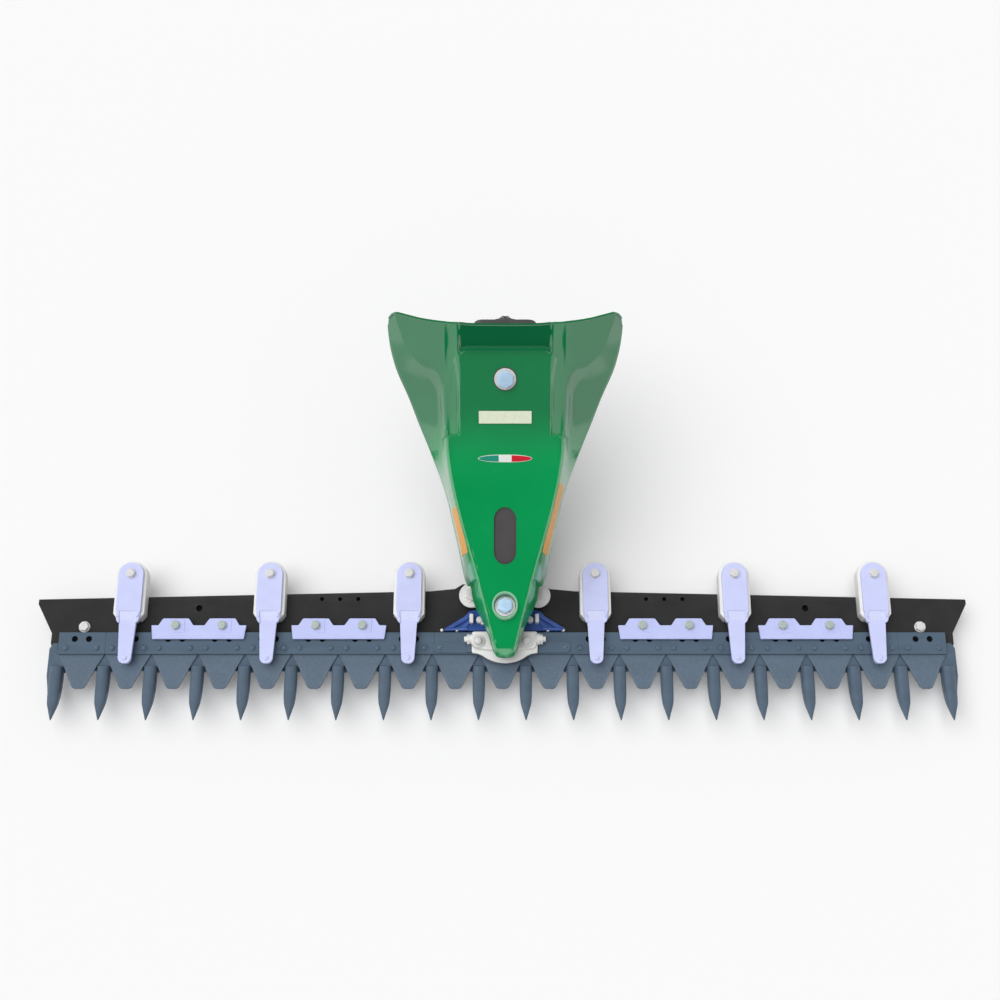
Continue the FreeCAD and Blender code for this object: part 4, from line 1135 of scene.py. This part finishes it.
def makeHoodFittings():
    low, high, half = hood["slot"]
    deep = ((high - low) / 2 + 4) / math.cos(hoodLean)
    plug = rounded(oblong(-half - 3, half + 3, -deep, deep, 12), 10)
    makeLaid("slotPlug", plug, (low + high) / 2, -5.6, -3.0, 0.5, plugGrey)
    line, wide, deep = laid["plate"]
    border = rounded(oblong(-wide, wide, -deep, deep, 1), 3)
    makeLaid("plateBorder", border, line, -0.3, 0.45, 0.2, inks["Dark"])
    wide, deep = wide - 1.3, deep - 1.3
    face = rounded(oblong(-wide, wide, -deep, deep, 0.6), 3)
    makeLaid("blankPlate", face, line, 0, 0.8, 0.2, inks["Ivory"])
    line, wide, deep = laid["pill"]
    makeLaid("pillBorder", oval(wide, deep), line, -0.3, 0.5, 0.2, inks["White"])
    for name, left, right in laid["bands"]:
        outline = band(oval(wide - 0.9, deep - 0.9), left * wide, right * wide)
        makeLaid("pill" + name, outline, line, 0, 0.8, 0.1, inks[name])


# A stripe laid on the skirt, a little proud of it.
def makeStripes():
    for number, (hand, first, last) in enumerate(hood["stripes"], start=1):
        rings = []
        for i in range(25):
            line = first + (last - first) * i / 24
            fold, crease, hem = [Vector(spot) for spot in hoodCorners(line)[1:]]
            upper = fold.lerp(crease, 0.12 + 0.5 * max(0, 0.2 - i / 24))
            lower = crease.lerp(hem, 0.35)
            outward = Vector((fold.y - hem.y, hem.x - fold.x)).normalized() * 0.5
            ring = [upper - outward, upper + outward, crease + outward * 1.6, lower + outward,
                    lower - outward, crease - outward]
            rings.append([Vector((hand * x + shift, line, hoodTop(line) + z)) for x, z in ring])
        makePiece(f"sideStripe_{number}", [loft(rings)], inks["Orange"])


# The hood's bolts, their rings and the spacer: turned profiles (radius, height from the hood) and hexagons

hoodBolts = {
    "frontShank": ((0, -30), (5.4, -30), (6, -29.2), (6, 1), (0, 1)),
    "frontFlange": ((0, 0.5), (10.6, 0.5), (10.6, 2.3), (11.4, 2.6), (11.4, 3.2), (0, 3.2)),
    "frontHead": (21.5, 2.8, 10.6, 0.3),
    "frontRing": ((12, 0), (16.4, 0), (16.4, 1.9), (15.7, 2.5), (12.6, 2.5), (12, 2)),
    "rearGasket": ((0, -0.5), (18.2, -0.5), (18.2, 0.9), (17.6, 1.3), (0, 1.3)),
    "rearRing": ((12.6, 1), (16.5, 1), (16.5, 2.6), (15.6, 3.4), (13.4, 3.4), (12.6, 2.8)),
    "rearShank": ((0, -39), (5.4, -39), (6, -38.2), (6, 1.5), (0, 1.5)),
    "rearHead": (23, 1.3, 9.8, 0.3),
    "spacer": ((6.4, -31.5), (14.6, -31.5), (15, -31), (15, -3.6), (14.6, -3.2), (6.4, -3.2)),
}


def makeHoodBolts():
    def at(place, name, steps=48):
        return placed(turned(hoodBolts[name], steps=steps), place)

    blue = coated("boltBlue", "bolt_zinc", (0.52, 0.74, 0.97), 0.38, tone=0.06, mottle=4,
                  grain=(0.5, 0.01), lumps=(3, 0.01), Metallic=0.2)
    line, seat = hood["frontBolt"]
    place = shiftBy(shift, line, seat)
    head = placed(hexHead(*hoodBolts["frontHead"]), place)
    makePiece("frontBoltRing", [at(place, "frontRing")], boltPale)
    makePiece("frontBolt", [at(place, "frontShank", 24), at(place, "frontFlange", 40), head], blue,
              ["hood_bolt_front"])
    place = slopePlace(hood["rearBolt"])
    head = placed(hexHead(*hoodBolts["rearHead"]), place)
    makePiece("rearBoltGasket", [at(place, "rearGasket")], plugGrey)
    makePiece("rearBoltRing", [at(place, "rearRing")], boltPale)
    makePiece("rearBolt", [at(place, "rearShank", 24), head], blue, ["hood_bolt_rear"])
    makePiece("hoodSpacer", [at(place, "spacer", 36)], housingGrey, ["hood_spacer"])


makeHood()
makeHoodFittings()
makeStripes()
makeHoodBolts()
print("hood made")


# Drive unit: bracket on the beam, gear housing, arm, coupling and input shaft

drive = {
    "low": 40,
    "top": 50,
    "foot": (54, 86, 56),            # half spacing, line, top of the pad
    "bracketBolt": (33, 58),
    "bracket": ((97, 28.5, 2), (101, 31, 2), (66, 53, 4), (58, 62, 4), (44, 66, 3), (44, 108, 3)),
    "bracketPad": ((0, 0), (17, 0), (17, 9.2), (16.2, 10), (0, 10)),
    "bracketRibs": (                 # top, then the outline
        (53, ((98.5, 31.5, 1), (66, 51.5, 3), (57, 60.5, 2), (50, 56.5, 2), (61, 46.5, 3), (86, 31.5, 1))),
        (51.2, ((96, 29, 1), (96, 33, 1), (60, 33, 1), (60, 29, 1))),
        (52, ((72, 32, 1), (60, 46, 2), (54, 46, 1), (63, 32, 1))),
    ),
    "studs": (                       # places, line, steps, profile
        ((-98.8, -74.3, 74.7, 99.7), 29.8, 24, ((0, 44), (2.7, 44), (2.7, 49), (2, 50), (0, 50.3))),
        ((shift - 36.5,), 40.5, 24, ((0, 47), (3.2, 47), (3.2, 53), (2.4, 54.2), (0, 54.6))),
        ((shift - 41.5, shift + 41.5), 46, 28, ((0, 47), (5.6, 47), (5.6, 54), (5, 55.6), (0, 56))),
    ),
    "footDish": ((0, 0), (20.4, 0), (21, 0.6), (21, 2.4), (20.2, 3.4), (13, 3.5), (12.4, 4.6), (0, 4.6)),
    "footShank": ((0, 14), (5.4, 14), (6, 15), (6, 57), (0, 57)),
    "footHeads": ((19, 60.2, 67, 0.4), (19, 14.6, 24)),
    "coverBolts": 8,
    "shaftHeight": 290,
    "shaftFront": 323,
    "shaftEnd": 474.8,
    "flange": (427, 449, 48),        # front, rear, half width
    "spigot": (30, 11.5),
    "splineTooth": ((-0.34, 7.2), (-0.24, 8.9), (0.24, 8.9), (0.34, 7.2)),
}

# Gear housing: side outlines are (line, height), bosses are turned about an axis across the machine

housing = {
    "half": 45,
    "low": 84,
    "side": ((101, 84, 4), (176, 84, 22), (401, 224, 22), (415, 230, 4), (427, 230, 2), (427, 350, 2),
             (415, 342.296, 2), (101, 140.708, 5)),
    "end": ((-52, 52, 232, 346, 14), 413, 427),
    "post": ((-16, 33, 5), (16, 33, 5), (16, 106), (-16, 106)),
    "postTop": 127.5,
    "postHole": (46, 6.4),
    "brace": ((38, 109, 2), (46, 109, 6), (46, 124, 2), (38, 124, 2)),
    "gusset": ((98, 55), (122, 55), (122, 102)),
    "footRim": (20.6, 100),          # radius, and how far round it goes each way in degrees
    "footRear": ((44, 122), (38, 122), (38, 74)),
    "webs": (((150, 118), (157, 112), (392, 262), (392, 272)),
             ((108, 150), (108, 140), (300, 170), (300, 178)),
             ((230, 150), (238, 150), (238, 250), (230, 246))),
    "bosses": ((330, 262, 48, ((0, 0), (44, 0), (42, 49), (40, 51), (0, 51))),
               (137, 116, 40, ((0, 0), (20, 0), (18.6, 48), (16, 50), (0, 50)))),
    "cover": ((0, 50.9), (38, 50.9), (38, 53.9), (36.6, 54.9), (20, 54.9), (18, 57.4), (0, 57.9)),
    "coverBolt": (10, 54.8, 59.3, 0.2),
    "plug": ((0, -2), (11, -2), (11, 2), (10.4, 2.6), (0, 2.6)),
    "plugHead": (14, 2.4, 9),
}


# Turns a plate that was drawn in (y, z) so that its thickness runs across the machine.
def sideways(mesh):
    return placed(mesh, shiftBy(shift) @ Matrix(((0, 0, 1, 0), (1, 0, 0, 0), (0, 1, 0, 0), (0, 0, 0, 1))))


# Turns a plate that was drawn in (x, z) so that its thickness runs to the rear.
def upended(mesh):
    return placed(mesh, shiftBy(shift) @ Matrix(((1, 0, 0, 0), (0, 0, 1, 0), (0, 1, 0, 0), (0, 0, 0, 1))))


def makeBracket():
    low, top = drive["low"], drive["top"]
    half, line, _ = drive["foot"]
    parts = [plate(rounded(handed(mirrored(drive["bracket"]), x=shift)), low, top - 1.5, 1.2, steps=2)]
    studs = []
    for hand in hands:
        parts.append(turned(drive["bracketPad"], shift + hand * half, line, 40, low))
        for high, rib in drive["bracketRibs"]:
            parts.append(plate(rounded(handed(rib, hand, shift), 3), top - 4, high, 1.2, steps=2))
        x = shift + hand * 53.5 - 1
        stud = rounded(oblong(x - 3.2, x + 3.2, 39.5, 54.5, 1.6), 4)
        studs.append(plate(stud, top - 3, 61, 1.2, steps=2))
    for places, stand, steps, profile in drive["studs"]:
        studs += [turned(profile, x, stand, steps) for x in places]
    blue = coated("bracketBlue", "bracket_blue", (0.034, 0.092, 0.34), 0.40, tone=0.14, mottle=14,
                  grain=(0.8, 0.05), lumps=(5, 0.09), worn=((0.12, 0.20, 0.50), 0.5))
    makePiece("barBracket", parts, blue, ["bar_bracket"], angle=30)
    across, bolted = drive["bracketBolt"]
    places = [shift + hand * across for hand in hands]
    bolts = repeated(boltMesh(23, top - 1.5, nut=30), places, bolted, 180, 17)
    makePiece("bracketBolts", [bolts], boltPale, ["bracket_bolts"])
    makePiece("bracketStuds", studs, clipWhite)


def makeFeet():
    half, line, top = drive["foot"]
    places = [shift + hand * half for hand in hands]
    dish = turned(drive["footDish"], steps=48, lift=top)
    bolt = joined([turned(drive["footShank"], steps=24), *[hexHead(*head) for head in drive["footHeads"]]])
    makePiece("footWashers", [repeated(dish, places, line)], clipWhite)
    makePiece("footBolts", [repeated(bolt, places, line, 40, 19)], boltPale, ["foot_bolts"])


# What one side of the housing carries: webs, bosses, a brace, a foot round its bolt, and a gusset.
def housingSide(hand):
    foot, line, pad = drive["foot"]
    deep = sorted((0, hand * (housing["half"] + 3.5)))
    parts = [sideways(plate(rounded([(*spot, 2) for spot in web], 3), *deep, 1.2, steps=2))
             for web in housing["webs"]]
    for along, height, steps, profile in housing["bosses"]:
        place = shiftBy(shift, along, height) @ pointing(hand)
        parts.append(placed(turned(profile, steps=steps), place))
    brace = rounded(handed(housing["brace"], hand, shift))
    parts.append(plate(brace, pad - 5.5, housing["low"] + 20, 1.5, steps=2))
    radius, reach = housing["footRim"]
    turns = [math.radians(reach * (i - 12) / 12) for i in range(25)]
    outline = [(foot + radius * math.cos(turn), line + radius * math.sin(turn)) for turn in turns]
    outline = handed([*outline, *housing["footRear"]], hand, shift)
    hole = circle(shift + hand * foot, line, 6.3)
    parts.append(plate(outline, drive["top"] + 0.1, pad, 0.8, [hole], steps=2))
    parts.append(prism(housing["gusset"], shift + hand * 38.5, shift + hand * 45))
    return parts


def makeHousing():
    half, low, top = housing["half"], housing["low"], housing["postTop"]
    end, front, rear = housing["end"]
    post = handed(rounded(housing["post"]), x=shift)
    parts = [sideways(plate(rounded(housing["side"]), -half, half, 6, steps=4)),
             upended(plate(rounded(oblong(*end)), front, rear, 2, steps=2)),
             plate(post, low + 2, top, 2, [circle(shift, *housing["postHole"])], steps=2)]
    covers, screws = [], []
    count = drive["coverBolts"]
    along, height = housing["bosses"][0][:2]
    for hand in hands:
        parts += housingSide(hand)
        place = shiftBy(shift, along, height) @ pointing(hand)
        covers.append(placed(turned(housing["cover"], steps=56), place))
        for x, y in circle(0, 0, 32, count, math.pi / count):
            screws.append(placed(hexHead(*housing["coverBolt"]), place @ shiftBy(x, y)))
    makePiece("gearHousing", parts, housingGrey, ["gear_housing"], angle=35)
    makePiece("housingCovers", covers, housingGrey)
    plug = joined([turned(housing["plug"]), hexHead(*housing["plugHead"])])
    screws.append(placed(plug, shiftBy(shift, 262, 120) @ Matrix.Rotation(math.radians(150), 4, "X")))
    makePiece("housingScrews", screws, boltZinc)


def makeCoupling():
    front, rear, half = drive["flange"]
    middle = drive["shaftHeight"]
    radius, length = drive["spigot"]
    bore = circle(0, middle, 10.1)
    holes = [circle(x, z, 5.5) for x, z in circle(0, middle, 46, 4, math.pi / 4)]
    square = rounded(oblong(-half, half, middle - half, middle + half, 13), 6)
    parts = [
        plate(circle(0, middle, 38, 48), front, front + 5, 0.6, [bore]),
        plate(square, front + 4, rear, 1.2, [*holes, bore], steps=2),
        plate(circle(0, middle, radius, 56), rear - 1, rear + length, 1.4,
              [circle(0, middle, radius - 6, 48)], steps=2),
        plate(circle(0, middle, 17, 40), rear - 1, rear + length - 3.5, 1.0, [bore], steps=2),
    ]
    makePiece("couplingFlange", [upended(part) for part in parts], housingGrey, ["coupling_flange"])


# The shaft is drawn upright and laid to the rear.
def makeShaft():
    front, end, teeth = drive["shaftFront"], drive["shaftEnd"], 6
    step = drive["flange"][1] + drive["spigot"][1]
    barrel = [(0, front), (9.4, front), (10, front + 0.8), (10, step - 0.6), (9.4, step), (0, step)]
    outline = []
    for i in range(teeth):
        for offset, reach in drive["splineTooth"]:
            a = 2 * math.pi * i / teeth + offset
            outline.append((reach * math.cos(a), reach * math.sin(a)))
    spin = shiftBy(shift, 0, drive["shaftHeight"]) @ Matrix.Rotation(-math.pi / 2, 4, "X")
    parts = [placed(turned(barrel, steps=40), spin), placed(plate(outline, step - 1, end, 0.5), spin)]
    makePiece("inputShaft", parts, shaftDark, ["input_shaft"], "input")


skidLook = {
    "paint": (0.042, 0.042, 0.044),
    "bare": (0.34, 0.33, 0.32),
    "rubbedTo": 3.2,                 # height above the floor
    "ragged": 7,
}


# Black skids whose soles are rubbed bright along the way they slide.
def skidFinish():
    finish = Finish("skidSteel", "skid_steel", skidLook["paint"], 0.45)
    fine = finish.noise(0.8, 2)
    rub = finish.noise(6, 4, (1, 12, 1))
    bare = (finish.along(2) * -1 + rub * skidLook["ragged"] + skidLook["rubbedTo"]).ramp(0, 1.4)
    finish.send(finish.mix(bare, skidLook["paint"], skidLook["bare"]), "Base Color")
    finish.send(bare * 0.7, "Metallic")
    finish.send(bare * -0.12 + rub * 0.15 + 0.46, "Roughness")
    finish.relief(fine * 0.03 + rub * 0.06 + finish.noise(9) * 0.06)
    return finish


shaftDark = coated("shaftDark", "shaft_steel", (0.07, 0.07, 0.072), 0.36, tone=0.14, mottle=8,
                   grain=(0.4, 0.02), lumps=(4, 0.03), worn=((0.34, 0.34, 0.34), 0.6), Metallic=0.4)
skidSteel = skidFinish()
makeBracket()
makeFeet()
makeHousing()
makeCoupling()
makeShaft()
makePiece("driveArm", [softened(cadCopy("drive_arm"), 1.4, 3)], shaftDark, ["drive_arm"], "rocker")
for name, node in (("centreSkid", "centre_skid"), ("endSkidLeft", "end_skid_left"),
                   ("endSkidRight", "end_skid_right")):
    makePiece(name, [softened(cadCopy(node), 1.5, 3)], skidSteel, [node])
print("drive and skids made")


# Stage: pale floor, soft lamp, and the camera

stage = {
    "floorReach": 8.0,
    "cameraPlace": (-3.7, -508.4, 2265),         # mm, from the rivet line
    "cameraLean": 19.0,
    "lens": 50.0,
    "worldLight": 0.38,
    "floorTone": 0.82,
    "floorLift": 0.10,
    # what mirrors show: a white rim of horizon, bright walls left and right, a dimmer panel overhead,
    # each fading between two places, from one strength to another
    "horizon": (0.12, 0.26, 1.0, 0.0),
    "walls": (0.24, 0.38, 0.0, 0.66),
    "wallsTop": (0.60, 0.82, 1.0, 0.1),
    "ceiling": (0.70, 0.73, 0.0, 0.10),
    "sun": (-0.32, 0.15, 0.935),
    "sunPower": 2.25,
    "sunSpread": 60.0,
}


# The empty nodes of the floor's material or of the world.
def emptyNodes(owner):
    nodes = Nodes(owner)
    nodes.tree.nodes.clear()
    return nodes


# 1 on the rays that the camera or a mirror sends, or on those of the kinds named
def seen(nodes, *names):
    names = names or ("Is Camera Ray", "Is Glossy Ray", "Is Transmission Ray")
    first, *others = [nodes.node("ShaderNodeLightPath", output=name) for name in names]
    for other in others:
        first = first.maths("MAXIMUM", first, other)
    return first


# A floor that keeps the object's shadow and is otherwise white to the camera.
def makeFloor():
    form = bmesh.new()
    bmesh.ops.create_grid(form, x_segments=8, y_segments=8, size=stage["floorReach"])
    mesh = meshOf(form)
    floor = bpy.data.objects.new("floor", mesh)
    bpy.context.scene.collection.objects.link(floor)
    material = bpy.data.materials.new("floorWhite")
    nodes = emptyNodes(material)
    tone, lift = stage["floorTone"], stage["floorLift"]
    diffuse = nodes.node("ShaderNodeBsdfDiffuse", values={"Color": (tone, tone, tone, 1)})
    glow = nodes.node("ShaderNodeEmission", values={"Color": (1, 1, 1, 1), "Strength": seen(nodes) * lift})
    both = nodes.node("ShaderNodeAddShader", values={0: diffuse, 1: glow})
    nodes.node("ShaderNodeOutputMaterial", values={"Surface": both})
    mesh.materials.append(material)


def makeWorld():
    world = bpy.data.worlds.new("studio")
    bpy.context.scene.world = world
    nodes = emptyNodes(world)
    light = {"Color": (0.99, 0.99, 1.0, 1), "Strength": stage["worldLight"]}
    soft = nodes.node("ShaderNodeBackground", values=light)
    place = nodes.node("ShaderNodeTexCoord", output="Generated")
    height, across = [nodes.node("ShaderNodeSeparateXYZ", values={0: place}, output=axis) for axis in "ZX"]
    bright = abs(across).ramp(*stage["walls"]) * height.ramp(*stage["wallsTop"])
    ceiling, horizon = [height.ramp(*stage[name]) for name in ("ceiling", "horizon")]
    for other in (ceiling, horizon, seen(nodes, "Is Camera Ray")):
        bright = bright.maths("MAXIMUM", bright, other)
    white = nodes.node("ShaderNodeBackground", values={"Color": (1, 1, 1, 1), "Strength": bright})
    chosen = nodes.node("ShaderNodeMixShader", values={"Fac": seen(nodes), 1: soft, 2: white})
    nodes.node("ShaderNodeOutputWorld", values={"Surface": chosen})


def makeLamp():
    data = bpy.data.lights.new("softSun", "SUN")
    data.energy = stage["sunPower"]
    data.angle = math.radians(stage["sunSpread"])
    lamp = bpy.data.objects.new("softSun", data)
    lamp.visible_glossy = False      # the walls and the ceiling of the world make the highlights
    lamp.rotation_euler = (-Vector(stage["sun"])).to_track_quat("-Z", "Y").to_euler()
    bpy.context.scene.collection.objects.link(lamp)


def makeCamera():
    data = bpy.data.cameras.new("camera")
    data.lens = stage["lens"]
    data.sensor_width = 36
    camera = bpy.data.objects.new("camera", data)
    x, y, z = stage["cameraPlace"]
    camera.location = Vector((x, y + layout["rivetLine"], z)) / 1000
    camera.rotation_euler = Euler((math.radians(stage["cameraLean"]), 0, 0))
    bpy.context.scene.collection.objects.link(camera)
    bpy.context.scene.camera = camera


makeFloor()
makeWorld()
makeLamp()
makeCamera()
bpy.context.scene.view_settings.view_transform = "Standard"
print("stage made")
